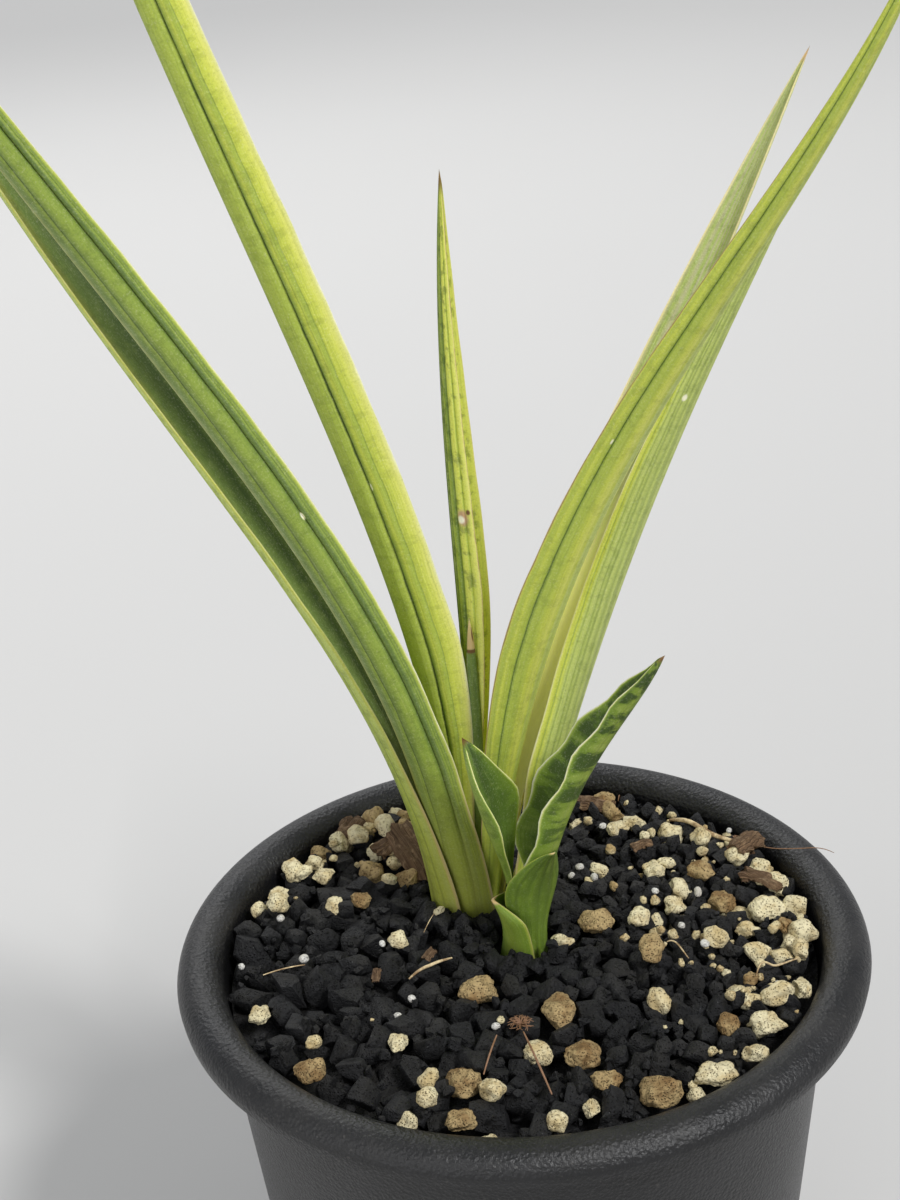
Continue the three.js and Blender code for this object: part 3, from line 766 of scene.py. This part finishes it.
leaves = dict(
    leaf_left_back=dict(
        radius=10.1, azimuth=167, drift=-16, lean=(-2, 55, 25, 29), length=300, half=9, depth=8, twist=-14,
        taper=2.2, wall=2.4,
        grooves=[(-0.64, 0.4, 0.06), (-0.2, 0.15, 0.1), (0.45, 0.4, 0.06), (0.7, 0.2, 0.04)],
        bands="-1 cream, -0.9 lemon, -0.5 lime, 0 leaf, 0.4 moss, 0.46 deep, 0.52 moss, 0.68 leaf, 0.72 pine, "
              "0.76 leaf, 0.9 mist, 0.97 lime, 1 cream",
        # the lining's deep and pine middle is painted shade inside the channel
        lining="-1 cream, -0.93 leaf, -0.8 moss, -0.66 pine, -0.62 deep, -0.56 pine, -0.2 deep, 0.4 pine, 1 olive",
        slot="mid_leaf", baseTone="olive", mottle=0.3,
    ),
    leaf_left_front=dict(
        radius=8.7, azimuth=214, drift=9.5, lean=(-3, 46, 25, 34), length=330, half=7, depth=8, twist=9.5,
        taper=2.5, wall=2.4,
        grooves=[(0.67, 0.5, 0.035), (0.66, 0.5, 0.13), (0.24, 0.2, 0.03), (0.85, 0.16, 0.02),
                 (0.91, 0.12, 0.015), (-0.5, 0.3, 0.05)],
        bands="-1 cream, -0.8 leaf, -0.3 olive, 0 pine, 0.1 pine, 0.22 moss, 0.24 deep, 0.26 pine, 0.42 moss, "
              "0.58 moss, 0.65 pine, 0.667 deep, 0.684 pine, 0.76 steel, 0.82 moss, 0.845 pine, 0.865 moss, "
              "0.9 steel, 0.925 moss, 0.955 sage, 0.985 cream, 1 white",
        lining="-1 cream, -0.8 leaf, 0 moss, 0.8 leaf, 0.96 lime, 1 white",
        spots=[(0.66, 122, 0.045, 1.2, "white")],
        slot="mid_leaf", baseTone="olive", mottle=0.2,
    ),
    leaf_right_outer=dict(
        radius=7.1, azimuth=-6, drift=-16, lean=(20, 8, 31, 23), length=204, half=9, depth=8, twist=-22, taper=1.8,
        wall=2, sheath=45, wrap=50,
        grooves=[(-0.86, 0.25, 0.025), (-0.73, 0.16, 0.025), (-0.58, 0.2, 0.03), (-0.46, 0.14, 0.03),
                 (-0.3, 0.14, 0.03), (-0.1, 0.12, 0.03), (0.4, 0.2, 0.05)],
        bands="-1 white, -0.985 cream, -0.96 lemon, -0.885 lime, -0.86 sage, -0.835 lime, -0.76 mist, -0.73 sage, "
              "-0.7 mist, -0.61 mist, -0.58 sage, -0.54 mist, -0.48 sage, -0.43 mist, -0.3 sage, -0.25 mist, "
              "-0.1 sage, 0 mist, 0.35 leaf, 1 cream",
        lining="-1 cream, -0.94 lemon, -0.3 lime, 0 lemon, 1 butter",
        spots=[(-0.46, 138, 0.1, 1.0, "white")],
        slot="pale_leaf", baseTone="leaf", mottle=0.2,
    ),
    leaf_left_upper=dict(
        radius=5.2, azimuth=195, drift=12, lean=(-4, 28, 19, 7), length=350, half=7, depth=12, taper=3, wall=2.2,
        sheath=75, wrap=62,
        grooves=[(0.5, 0.5, 0.024), (0.5, 0.45, 0.11), (0.73, 0.14, 0.02), (0.3, 0.12, 0.04), (-0.5, 0.4, 0.05)],
        bands="-1 cream, -0.6 leaf, -0.1 moss, 0.1 leaf, 0.25 leaf, 0.42 leaf, 0.48 leaf, 0.497 deep, 0.514 pine, "
              "0.55 moss, 0.62 lime, 0.69 leaf, 0.72 leaf, 0.735 moss, 0.75 lime, 0.8 lime, 0.88 lemon, "
              "0.95 butter, 0.985 cream, 1 white",
        lining="-1 cream, -0.7 leaf, 0 moss, 0.7 lime, 0.95 lemon, 1 cream",
        spots=[(0.53, 117, 0.035, 1.1, "white")],
        slot="pale_leaf", baseTone="lime", mottle=0.18,
    ),
    leaf_right_back=dict(
        radius=5, azimuth=46, drift=10, lean=(12, 50, 50, 54), length=235, half=8, depth=10.5, twist=8, taper=1.8,
        wall=2, sheath=80, wrap=60,
        grooves=[(-0.6, 0.25, 0.04), (0.6, 0.25, 0.04)],
        bands="-1 cream, -0.6 sage, -0.3 mist, 0.3 mist, 0.6 sage, 1 cream",
        lining="-1 pink, -0.96 grey, -0.85 sage, -0.7 grey, -0.55 moss, -0.4 grey, -0.2 moss, -0.1 grey, 0.1 sage, "
               "0.25 grey, 0.4 moss, 0.6 grey, 0.8 sage, 0.94 grey, 1 pink",
        slot="pale_leaf", baseTone="butter", tipTone="pink", mottle=0.22, paling=(125.0, 70.0, 0.9),
    ),
    leaf_right_front=dict(
        radius=3.9, azimuth=-34, drift=-16, lean=(7.5, 14, 57, 19), length=262, half=9, depth=9, twist=-9,
        taper=1.5, wall=2.2, sheath=90, wrap=68,
        grooves=[(-0.6, 0.5, 0.026), (-0.6, 0.45, 0.11), (-0.38, 0.14, 0.03), (-0.08, 0.16, 0.05),
                 (0.12, 0.1, 0.03), (0.5, 0.3, 0.06)],
        bands="-1 pink, -0.975 bark, -0.955 lime, -0.9 leaf, -0.8 lime, -0.65 leaf, -0.616 moss, -0.6 deep, "
              "-0.585 moss, -0.54 leaf, -0.4 leaf, -0.3 lime, -0.15 lemon, -0.06 lime, 0.02 mist, 0.1 leaf, "
              "0.18 mist, 0.26 lime, 0.4 lemon, 0.8 butter, 1 cream",
        lining="-1 pink, -0.9 lime, -0.4 lemon, 0 leaf, 0.9 butter, 1 cream",
        spots=[(-0.66, 137, 0.035, 0.9, "white")],
        slot="pale_leaf", baseTone="leaf", mottle=0.16,
    ),
    leaf_new=dict(
        radius=2.9, azimuth=299, drift=-30, lean=(3.5, 4.5, 2, 0), length=84, half=1.8, depth=1.2, taper=7,
        wall=0.9, wrap=50,
        bands="-1 white, -0.8 white, -0.68 pine, -0.4 steel, -0.1 pine, 0.2 steel, 0.5 pine, 0.9 steel, 1 cream",
        lining="-1 white, -0.7 white, -0.5 pine, 0 steel, 1 cream",
        spots=[(0, 76, 3.0, 0.6, "bark"), (0.5, 80, 0.3, 2.2, "bark")],
        baseTone="moss", dryTip=(0.905, 0.915), mottle=0.3, papery=0,
    ),
    leaf_centre=dict(
        radius=1.9, azimuth=170, drift=-12, lean=(-6, 3, 4, -7), length=178, half=5.5, depth=9, twist=4, taper=2.5,
        wall=1.8, sheath=90, wrap=60,
        grooves=[(0.2, 0.15, 0.03), (0.36, 0.15, 0.03), (0.57, 0.3, 0.03), (0.8, 0.25, 0.025), (-0.5, 0.2, 0.04)],
        bands="-1 butter, -0.6 moss, 0.02 pine, 0.1 moss, 0.18 deep, 0.24 moss, 0.3 sage, 0.35 pine, 0.42 leaf, "
              "0.5 moss, 0.565 pine, 0.6 leaf, 0.65 lemon, 0.76 lemon, 0.79 leaf, 0.82 lime, 0.9 lemon, "
              "0.988 butter, 0.997 pink, 1 bark",
        lining="-1 pink, -0.97 lemon, 0 lime, 0.96 lemon, 1 pink",
        spots=[(0.74, 106, 0.2, 2.4, "pink"), (0.7, 105.6, 0.12, 1.2, "white"), (0.9, 107.4, 0.07, 0.8, "bark")],
        slot="mid_leaf", baseTone="lime", tipTone="bark", mottle=0.5,
    ),
    offset_sheath_left=dict(
        shoot=offsetShoot, radius=6.4, azimuth=207, drift=-18, lean=(-4, -17, 8, 26), length=21, half=7, depth=5.8,
        twist=-10, taper=1.6, wall=0.8, straight=16, sheath=6.5, wrap=80,
        bands="-1 tan, -0.95 fresh, -0.4 ivy, 0 fresh, 0.3 leaf, 0.9 fresh, 0.97 lime, 0.99 tan, 1 bark",
        lining="-1 tan, -0.9 fresh, 0 ivy, 0.9 fresh, 1 tan",
        baseTone="fresh", mottle=0.3, papery=0, crossing=0.3,
    ),
    offset_sheath_right=dict(
        shoot=offsetShoot, radius=5, azimuth=301, drift=-4, lean=(-1.5, -4, 23.5, 35), length=39.5, half=11.5,
        depth=7.5, twist=-3, taper=1.6, wall=0.7, straight=11, sheath=17.5, wrap=62,
        grooves=[(-0.6, 0.08, 0.04), (-0.3, 0.08, 0.04), (0, 0.08, 0.04), (0.3, 0.08, 0.04)],
        bands="-1 tan, -0.98 lime, -0.93 fresh, -0.8 ivy, -0.66 fresh, -0.6 shade, -0.52 fresh, -0.32 ivy, "
              "-0.2 fresh, 0 shade, 0.1 fresh, 0.3 shade, 0.45 fresh, 0.7 ivy, 0.95 fresh, 0.98 leaf, 1 tan",
        lining="-1 tan, -0.96 leaf, 0 fresh, 0.96 leaf, 1 tan",
        baseTone="fresh", mottle=0.6, papery=0, blotches=(0.48, 0.6), breadth=2.4, crossing=0.15,
    ),
    offset_leaf_left=dict(
        shoot=offsetShoot, radius=3.8, azimuth=205, drift=-44.5, lean=(-11, 9.5, 22.5, 7), length=61, half=12.5,
        depth=10.7, twist=-13, taper=2.4, wall=1.4, straight=21, sheath=24, wrap=46, wave=0.6,
        grooves=[(0.4, 0.12, 0.05)],
        bands="-1 cream, -0.97 fresh, -0.3 ivy, 0.3 fresh, 0.6 moss, 0.965 fresh, 1 cream",
        lining="-1 cream, -0.97 leaf, -0.93 fresh, -0.6 ivy, -0.2 shade, 0 ivy, 0.4 fresh, 0.7 ivy, 0.93 fresh, "
               "0.97 leaf, 1 cream",
        baseTone="fresh", tipTone="bark", mottle=0.5, papery=0, blotches=(0.48, 0.62), breadth=1.4, crossing=0.24,
    ),
    offset_leaf_right=dict(
        shoot=offsetShoot, radius=2.5, azimuth=16, drift=-77, lean=(8, 5, 48.5, 27.5), length=92, half=8.5,
        depth=10.5, twist=25, taper=2.4, wall=1.4, straight=11.5, sheath=22, wrap=74, wave=0.9,
        grooves=[(-0.5, 0.15, 0.05), (-0.2, 0.12, 0.05), (0.35, 0.15, 0.05)],
        bands="-1 white, -0.98 cream, -0.955 fresh, -0.85 fresh, -0.5 moss, -0.2 fresh, 0.5 moss, 0.96 fresh, "
              "1 white",
        lining="-1 white, -0.975 leaf, -0.93 fresh, -0.4 ivy, 0 fresh, 0.5 ivy, 0.93 fresh, 0.97 leaf, 1 white",
        baseTone="fresh", tipTone="bark", mottle=1, papery=0, blotches=(0.44, 0.53), breadth=0.8, crossing=0.2,
    ),
)


def leafSpine(leaf):
    shoot, steps = leaf["shoot"], leafForm["spineSteps"]
    x, y = polar(leaf["radius"], math.radians(leaf["azimuth"]))
    keel = Vector((shoot["x"] + x, shoot["y"] + y, leafForm["soil"] - shoot["sunk"]))
    spine = []
    for step in range(steps + 1):
        t = step / steps
        lean, azimuth = math.radians(bezier(leaf["lean"], t)), math.radians(leaf["azimuth"] + leaf["drift"] * t)
        across = Vector((-math.sin(azimuth), math.cos(azimuth), 0))
        along = Vector((math.sin(lean) * math.cos(azimuth), math.sin(lean) * math.sin(azimuth), math.cos(lean)))
        outward = across.cross(along)
        turn = math.radians(leaf["twist"]) * smooth(t / leafForm["twistEnd"])
        turned = [way * math.cos(turn) + along.cross(way) * math.sin(turn) for way in (outward, across)]
        spine.append((keel.copy(), *turned))
        keel += along * (leaf["length"] / steps)
    return spine


def sectionPlace(around):
    # round the outer side and back inside, evenly apart from the two tight margins
    turn = around / math.pi
    even = 2 * turn - 1 if turn <= 1 else 3 - 2 * turn
    return 0.72 * even - 0.28 * math.cos(around), math.sin(around)


def leafPoint(leaf, spine, share, side, t, ripple):
    # a round sheath at the base opens into a channel with thin rounded margins
    keel, outward, across = spine[round(t * (len(spine) - 1))]
    s = t * leaf["length"]
    blade = smooth((s - leaf["straight"]) / leaf["sheath"])
    narrowing = max(1 - t ** leaf["taper"], 0) ** leafForm["blunt"]
    half = lerp(leaf["radius"], leaf["half"] * narrowing, blade)
    depth = lerp(leaf["radius"], leaf["depth"] * narrowing, blade)
    arc = math.radians(lerp(leaf["wrap"], leafForm["bladeArc"], blade))
    keelWall = min(lerp(leafForm["sheathWall"], leaf["wall"], blade**3), 0.7 * half, 0.7 * depth)
    edgeWall = min(lerp(leafForm["sheathWall"], leafForm["edgeWall"], blade), keelWall)
    inset = lerp(keelWall, edgeWall, share**2) / 2 * (1 - math.copysign(abs(side) ** 0.35, side))
    if side > 0:
        for place, deep, wide in leaf["grooves"]:
            inset += deep * math.exp(-(((share - place) / wide) ** 2)) * blade * min(narrowing * 1.5, 1)
    wave = leaf["wave"] * blade * narrowing * math.sin(2 * math.pi * s / leafForm["waveLength"])
    flare = (wave + ripple * blade * narrowing) * abs(share) ** 3
    angle = arc * share
    centre = keel - outward * depth
    return centre + outward * ((depth - inset) * math.cos(angle) + flare) + across * (half - inset) * math.sin(angle)


def modelLeaf(name, leaf, seed):
    clearSelection()
    rows = max(leafForm["fewestRows"], round(leaf["length"] / leafForm["rowLength"]))
    bpy.ops.mesh.primitive_grid_add(x_subdivisions=leafForm["around"], y_subdivisions=rows, size=1)
    skin = bpy.context.object
    skin.name = name.replace("leaf", "blade").replace("sheath", "wrap")
    spine = leafSpine(leaf)
    record = {"across": [], "along": [], "inner": [], "tip": []}
    for vertex in skin.data.vertices:  # the flat grid is rolled into the leaf's closed skin
        around, t = 2 * math.pi * (vertex.co.x + 0.5), min(max(vertex.co.y + 0.5, 0), 1)
        share, side = sectionPlace(around)
        s = t * leaf["length"]
        ripple = leafForm["ripple"] * roughAt(s / leafForm["rippleLength"], math.copysign(3, share) + seed, seed)
        vertex.co = leafPoint(leaf, spine, share, side, t, ripple) * mm
        inner = 0.5 - 0.5 * math.copysign(min(abs(side) * 4, 1), side)
        for values, value in zip(record.values(), (share, s, inner, t)):
            values.append(value)
    for label, values in record.items():
        writeAttribute(skin, label, values)
    editMode()
    selectMesh()
    bpy.ops.mesh.remove_doubles(threshold=0.01 * mm)
    selectMesh("DESELECT")
    bpy.ops.mesh.select_non_manifold()
    bpy.ops.mesh.edge_face_add()
    faceOutward()
    objectMode()
    edgedShading(skin, leafForm["edgeAngle"])
    return skin


def bandStops(bands):
    stops = [stop.split() for stop in bands.split(",")]
    return [((float(place) + 1) / 2, greens[tone]) for place, tone in stops]


def leafSkin(name, leaf, seed):
    material, shader = startMaterial(name + "Skin", 0.5, 0.4)
    feed(shader, {"Subsurface Weight": 0.3, "Subsurface Radius": (1.0, 1.0, 0.25), "Subsurface Scale": 0.002})
    across, along, inner = attributeOf("across"), attributeOf("along"), attributeOf("inner")
    flow = useGroup(leafFlow, Across=across, Along=along, Seed=float(seed), Waver=0.06,
                    Breadth=leaf["breadth"], Crossing=leaf["crossing"])
    ramped = maths("MULTIPLY_ADD", flow["Across"], 0.5, 0.5)
    outer, lining = (toneRamp(ramped, bandStops(leaf[side])) for side in ("bands", "lining"))
    body = mixTones(inner, outer, lining)
    middle = rescale(maths("ABSOLUTE", across), 0.97, 0.84)
    blotch = times(rescale(flow["Mottle"], *leaf["blotches"], 0, leaf["mottle"]), middle)
    pale = times(rescale(flow["Mottle"], 0.45, 0.32, 0, 0.3 * leaf["mottle"]), middle)
    speck = noiseAt(objectPlace(), 2300.0, 3, 0.7)
    high, low, strength = leaf["paling"]
    edge = rescale(maths("ABSOLUTE", flow["Across"]), 0.93, 0.97)
    for share, tone in (
        (rescale(flow["Stripes"], 0.42, 0.72, 0, 0.24), "pine"),
        (rescale(flow["Threads"], 0.5, 0.74, 0, 0.15), "deep"),
        (rescale(flow["Threads"], 0.42, 0.24, 0, 0.16), "cream"),
        (blotch, "deep"),
        (pale, "mist"),
        (rescale(speck, 0.52, 0.72, 0, 0.22), "deep"),
        (rescale(speck, 0.48, 0.3, 0, 0.16), "white"),
        (rescale(along, high, low, 0, strength), leaf["baseTone"]),
        (times(edge, rescale(along, 58.0, 30.0, 0, leaf["papery"])), "tan"),  # the sheath's dry edge
        (rescale(attributeOf("tip"), *leaf["dryTip"]), leaf["tipTone"]),
    ):
        body = mixTones(share, body, greens[tone])
    for side, height, width, length, tone in leaf["spots"]:
        spot = useGroup(
            spotAt, Across=flow["Across"], Along=along, Side=side, Height=height, Width=width, Length=length)
        body = mixTones(times(spot["Mask"], rescale(inner, 0.6, 0.4)), body, greens[tone])
    feed(shader, {"Roughness": rescale(flow["Mottle"], 0.3, 0.7, 0.42, 0.58)})
    ribs = plus(plus(times(flow["Threads"], 0.5), times(flow["Stripes"], 0.7)), times(flow["Mottle"], 0.3))
    finishSkin(shader, body, plus(ribs, times(speck, 0.25)), 0.0004, 0.6)
    return material


for seed, (node, row) in enumerate(leaves.items(), start=3):
    leaf = {**usualLeaf, **row}
    dress(modelLeaf(node, leaf, seed), leafSkin(node, leaf, seed), leaf["slot"], node)
print("leaves ready")

# the hidden rhizome keeps its shape

rhizome = dict(light=srgb(214, 150, 86), dark=srgb(140, 84, 44))


def rhizomeSkin():
    material, shader = startMaterial("rhizomeSkin", 0.7, 0.3)
    grain = useGroup(stoneGrain, Vector=objectPlace(), Scale=500.0, Pores=0.2)
    finishSkin(shader, mixTones(grain["Tint"], rhizome["light"], rhizome["dark"]), grain["Height"], 0.0005, 0.6)
    return material


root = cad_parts["rhizome"]
root.data.materials.clear()
root.data.materials.append(rhizomeSkin())
print("rhizome ready")

# dry roots, straws and bark that lie on the grit, in mm and degrees

bits = dict(
    seed=31,
    # each strand: points as x, y and height over the grit, then thickness and tone
    strands=dict(
        rootlet=([(-24.5, -14.2, 0.2), (-22, -12.6, 0.9), (-19.8, -12.2, 0.4), (-18.4, -9.8, 1.0), (-15.2, -7.8, 0.5)],
                 0.36, "pale"),
        straw=([(-55.5, -10.2, 0.2), (-51, -8, 1.1), (-46.8, -6.6, 0.4)], 0.2, "pale"),
        backRoot=([(38, 42, 0.2), (41.3, 39.4, 1.0), (44.3, 35.5, 0.6), (48, 32.4, 1.2), (53, 29, 0.4)], 0.6, "pale"),
        curlRoot=([(30.8, -9, 0.2), (32.8, -7.8, 1.2), (33.4, -11, 0.8), (34.8, -13.8, 0.3)], 0.22, "pale"),
        rimRoot=([(47.9, -21, 0.3), (49.4, -17.4, 1.4), (51.2, -21.6, 1.0), (54.2, -18.4, 1.4), (57.4, -17.9, 0.4)],
                 0.24, "pale"),
        stick=([(-10.2, -45.6, 0.2), (-8.6, -41, 1.6), (-7, -37.4, 2.2)], 0.26, "brown"),
        longStick=([(-1.6, -36.4, 2.0), (0.4, -45.6, 1.6), (2.7, -54, 0.4)], 0.3, "brown"),
        twig=([(-52.6, 42.4, 0.6), (-50, 40.6, 1.0), (-46.6, 38.4, 0.3)], 0.9, "brown"),
        backFibre=([(27, 53.5, 0.2), (27.6, 56.4, 3.2), (27.8, 57.4, 6.4)], 0.16, "brown"),
        sideFibre=([(-18.5, 9.5, 0.2), (-19.4, 5, 1.4), (-21, 0.6, 0.2)], 0.14, "pale"),
    ),
    # the hair lies over the rim, so its heights are measured from the floor
    hair=[(54, 29, 126.6), (57.5, 24.2, 127.6), (62, 22.2, 128.4), (66.4, 21.4, 128.7), (70.2, 21.8, 128.5),
          (72.6, 20.4, 127.6)],
    hairThickness=0.11,
    tufts=[(-2, -33.6, 60, 2.9), (53, 29, 40, 3.2)],  # x, y, fibres and reach
    # each scrap of bark: x, y, height over the grit, length, width, thickness, azimuth, tilt and curl
    barks=[
        (-22.5, 33.5, 1.6, 15, 9, 1.5, 118, 24, 150), (-27, 38, 2.4, 10, 5, 1.3, 20, 10, 70),
        (-38, 47.6, 1.4, 6.5, 5.5, 2.2, 60, 12, 60), (20, 53, 1.0, 11, 5, 2.0, -28, 6, 60),
        (53.6, 26, 1.0, 6.5, 5.5, 2.2, 30, 10, 90), (55, 12.4, 0.8, 9, 4.4, 1.0, 150, 8, 120),
        (-31.3, -13.1, 0.5, 3.2, 1.6, 0.5, 80, 20, 60), (-20, -6.6, 0.6, 3, 2.2, 0.5, 40, 24, 40),
        (30, 30, 0.6, 5, 2.4, 0.8, 10, 8, 50)],
    barkRows=(30, 16), barkEdge=50, fleck=srgb(184, 156, 122), stain=srgb(120, 88, 56),
    pale=srgb(230, 210, 166), brown=srgb(150, 116, 92), bark=srgb(140, 112, 84), barkDark=srgb(76, 57, 41),
)


def fibre(name, points, thick):
    clearSelection()
    bpy.ops.curve.primitive_nurbs_path_add()
    strand = bpy.context.object
    strand.name = name
    curve = strand.data
    curve.splines.clear()
    line = curve.splines.new("NURBS")
    line.points.add(len(points) - 1)
    for number, (point, place) in enumerate(zip(line.points, points)):
        point.co = (*(value * mm for value in place), 1)
        point.radius = 0.55 if number in (0, len(points) - 1) else 1  # thinner at both ends
    line.use_endpoint_u, line.order_u = True, min(len(points), 4)
    curve.resolution_u, curve.bevel_depth, curve.bevel_resolution = 6, thick * mm, 1
    curve.use_fill_caps = True
    bpy.ops.object.convert(target="MESH")
    strand = bpy.context.object
    applyPlace(strand)
    roundShading(strand)
    return strand


def tuft(name, x, y, fibres, reach):
    # springy fibres that start together and wander outward
    parts = []
    for strand in range(fibres):
        turn, rise = bitsChance.uniform(0, 2 * math.pi), bitsChance.uniform(0.2, 1.2)
        points = []
        for step in range(4):
            far = reach * step / 3
            turn += bitsChance.uniform(-0.9, 0.9)
            east, north = polar(far * math.cos(rise), turn)
            lift = 0.2 + far * math.sin(rise) * (1.2 - 0.25 * step)
            points.append((x + east, y + north, groundAt(x, y, 1.5) + lift))
        parts.append(fibre("tuftFibre", points, bits["hairThickness"]))
    return joinAll(name, parts)


def drySkin(name, tone):
    material, shader = startMaterial(name, 0.75, 0.3)
    grain = useGroup(stoneGrain, Vector=objectPlace(), Scale=900.0, Pores=0.2)
    body = mixTones(rescale(grain["Tint"], 0.4, 0.75), tone, bits["stain"])
    finishSkin(shader, body, grain["Height"], 0.0003, 0.6)
    return material


def barkScrap(name, x, y, lift, length, width, thick, azimuth, tilt, curl):
    # a ragged plate, curled across its grain, then thickened
    clearSelection()
    rows, columns = bits["barkRows"]
    bpy.ops.mesh.primitive_grid_add(x_subdivisions=rows, y_subdivisions=columns, size=1)
    scrap = bpy.context.object
    scrap.name = name
    shift = bitsChance.uniform(0, 60)
    turn, rise, curl = math.radians(azimuth), math.radians(tilt), math.radians(curl)
    bend = width / max(curl, 0.2)
    ground = groundAt(x, y, 1.5) + lift
    run, cross = [], []
    for vertex in scrap.data.vertices:
        along, across = vertex.co.x, vertex.co.y
        u = along * length * (1 + 0.3 * roughAt(across * 5, shift, 0) + 0.14 * roughAt(across * 17, shift, 4))
        v = across * width * (1 + 0.3 * roughAt(along * 3, 9, shift))
        angle = across * curl
        rough = 0.5 * roughAt(along * 3, across * 9, shift) + 0.22 * roughAt(along * 9, across * 26, shift)
        low = -bend * (1 - math.cos(angle)) + rough * min(thick, 1.2) - 0.25 * length * along**2
        side = bend * math.sin(angle) * v / (across * width) if abs(across) > 0.001 else 0
        forward = u * math.cos(rise) - low * math.sin(rise) * 0.4
        vertex.co = Vector((x + forward * math.cos(turn) - side * math.sin(turn),
                            y + forward * math.sin(turn) + side * math.cos(turn),
                            ground + u * math.sin(rise) + low)) * mm
        run.append(u)
        cross.append(across * width / 4)
    writeAttribute(scrap, "along", run)
    writeAttribute(scrap, "across", cross)
    wall = scrap.modifiers.new("wall", "SOLIDIFY")
    wall.thickness, wall.offset = thick * mm, 0
    applyModifiers(scrap)
    edgedShading(scrap, bits["barkEdge"])
    return scrap


def barkSkin():
    material, shader = startMaterial("dryBark", 0.85, 0.25)
    flow = useGroup(leafFlow, Across=attributeOf("across"), Along=attributeOf("along"), Seed=2.0, Waver=0.3,
                    Breadth=3.5, Crossing=0.5)
    grain = useGroup(stoneGrain, Vector=objectPlace(), Scale=900.0, Pores=0.2)
    body = mixTones(rescale(flow["Threads"], 0.36, 0.62), bits["bark"], bits["barkDark"])
    body = mixTones(rescale(flow["Mottle"], 0.5, 0.7, 0, 0.6), body, bits["fleck"])
    body = mixTones(rescale(grain["Tint"], 0.4, 0.75, 0, 0.4), body, bits["barkDark"])
    finishSkin(shader, body, minus(grain["Height"], times(flow["Threads"], 1.6)), 0.0006, 0.9)
    return material


def layBits():
    skins = {tone: drySkin(tone + "Dry", bits[tone]) for tone in ("pale", "brown")}
    bark = barkSkin()
    for name, (points, thick, tone) in bits["strands"].items():
        points = [(x, y, groundAt(x, y, 1.0) + lift) for x, y, lift in points]
        dress(fibre("dry_" + name, points, thick), skins[tone], "root_flesh")
    dress(fibre("dry_hair", bits["hair"], bits["hairThickness"]), skins["brown"], "root_flesh")
    for number, spec in enumerate(bits["tufts"], start=1):
        dress(tuft("dry_tuft_%d" % number, *spec), skins["brown"], "root_flesh")
    for number, spec in enumerate(bits["barks"], start=1):
        dress(barkScrap("bark_%d" % number, *spec), bark, "root_flesh")


bitsChance = random.Random(bits["seed"])
layBits()
print("loose bits ready")

# floor, light and camera

studio = dict(
    floor=srgb(199, 198, 196), floorCloud=srgb(190, 188, 184), floorSize=8,
    sun=dict(place=(0.62, -0.62, 1.0), strength=2.35, softness=12),
    fill=dict(place=(-1.2, -1.5, 0.9), size=1.6, power=13),
    rim=dict(place=(-0.3, 1.3, 1.1), size=1.0, power=7), aim=(0, 0, 0.16),
    sky=(0.92, 0.95, 1.0, 1), skyStrength=0.46,
    cameraAim=(-10.18, 166.21, 128), distance=584.55, elevation=25.58, roll=-4.06, lens=60, filmWidth=36,
)


def layFloor():
    clearSelection()
    bpy.ops.mesh.primitive_plane_add(size=studio["floorSize"], location=(0, 0, 0))
    floor = bpy.context.object
    floor.name = "studio_floor"
    material, shader = startMaterial("paleFloor", 0.8, 0.2)
    cloud = rescale(noiseAt(objectPlace(), 3.0, 4, 0.5), 0.3, 0.7, 0, 0.06)
    feed(shader, {"Base Color": mixTones(cloud, studio["floor"], studio["floorCloud"])})
    floor.data.materials.append(material)


def addLight(name, kind, place, aim):
    clearSelection()
    bpy.ops.object.light_add(type=kind, location=place)
    lamp = bpy.context.object
    lamp.name = name
    lamp.rotation_euler = (Vector(aim) - Vector(place)).to_track_quat("-Z", "Y").to_euler()
    return lamp.data


def placeLights():
    sun = studio["sun"]
    light = addLight("sun_light", "SUN", sun["place"], (0, 0, 0))
    light.energy, light.angle = sun["strength"], math.radians(sun["softness"])
    for name in ("fill", "rim"):
        spec = studio[name]
        light = addLight(name + "_light", "AREA", spec["place"], studio["aim"])
        light.size, light.energy = spec["size"], spec["power"]
    world = bpy.data.worlds.new("studioSky")
    world.use_nodes = True
    backdrop = world.node_tree.nodes["Background"].inputs
    backdrop["Color"].default_value, backdrop["Strength"].default_value = studio["sky"], studio["skyStrength"]
    bpy.context.scene.world = world
    bpy.context.scene.view_settings.view_transform = "Standard"


def placeCamera():
    lift, roll = math.radians(studio["elevation"]), math.radians(studio["roll"])
    forward = Vector((0, math.cos(lift), -math.sin(lift)))
    right = Vector((1, 0, 0))
    up = right.cross(forward)
    turnedRight = right * math.cos(roll) + up * math.sin(roll)
    turnedUp = up * math.cos(roll) - right * math.sin(roll)
    clearSelection()
    bpy.ops.object.camera_add()
    camera = bpy.context.object
    camera.data.lens, camera.data.sensor_width = studio["lens"], studio["filmWidth"]
    camera.data.sensor_fit, camera.data.clip_start = "AUTO", 0.01
    camera.rotation_mode = "QUATERNION"
    camera.rotation_quaternion = Matrix([turnedRight, turnedUp, -forward]).transposed().to_quaternion()
    camera.location = (Vector(studio["cameraAim"]) - forward * studio["distance"]) * mm
    bpy.context.scene.camera = camera


layFloor()
placeLights()
placeCamera()
print("studio ready")
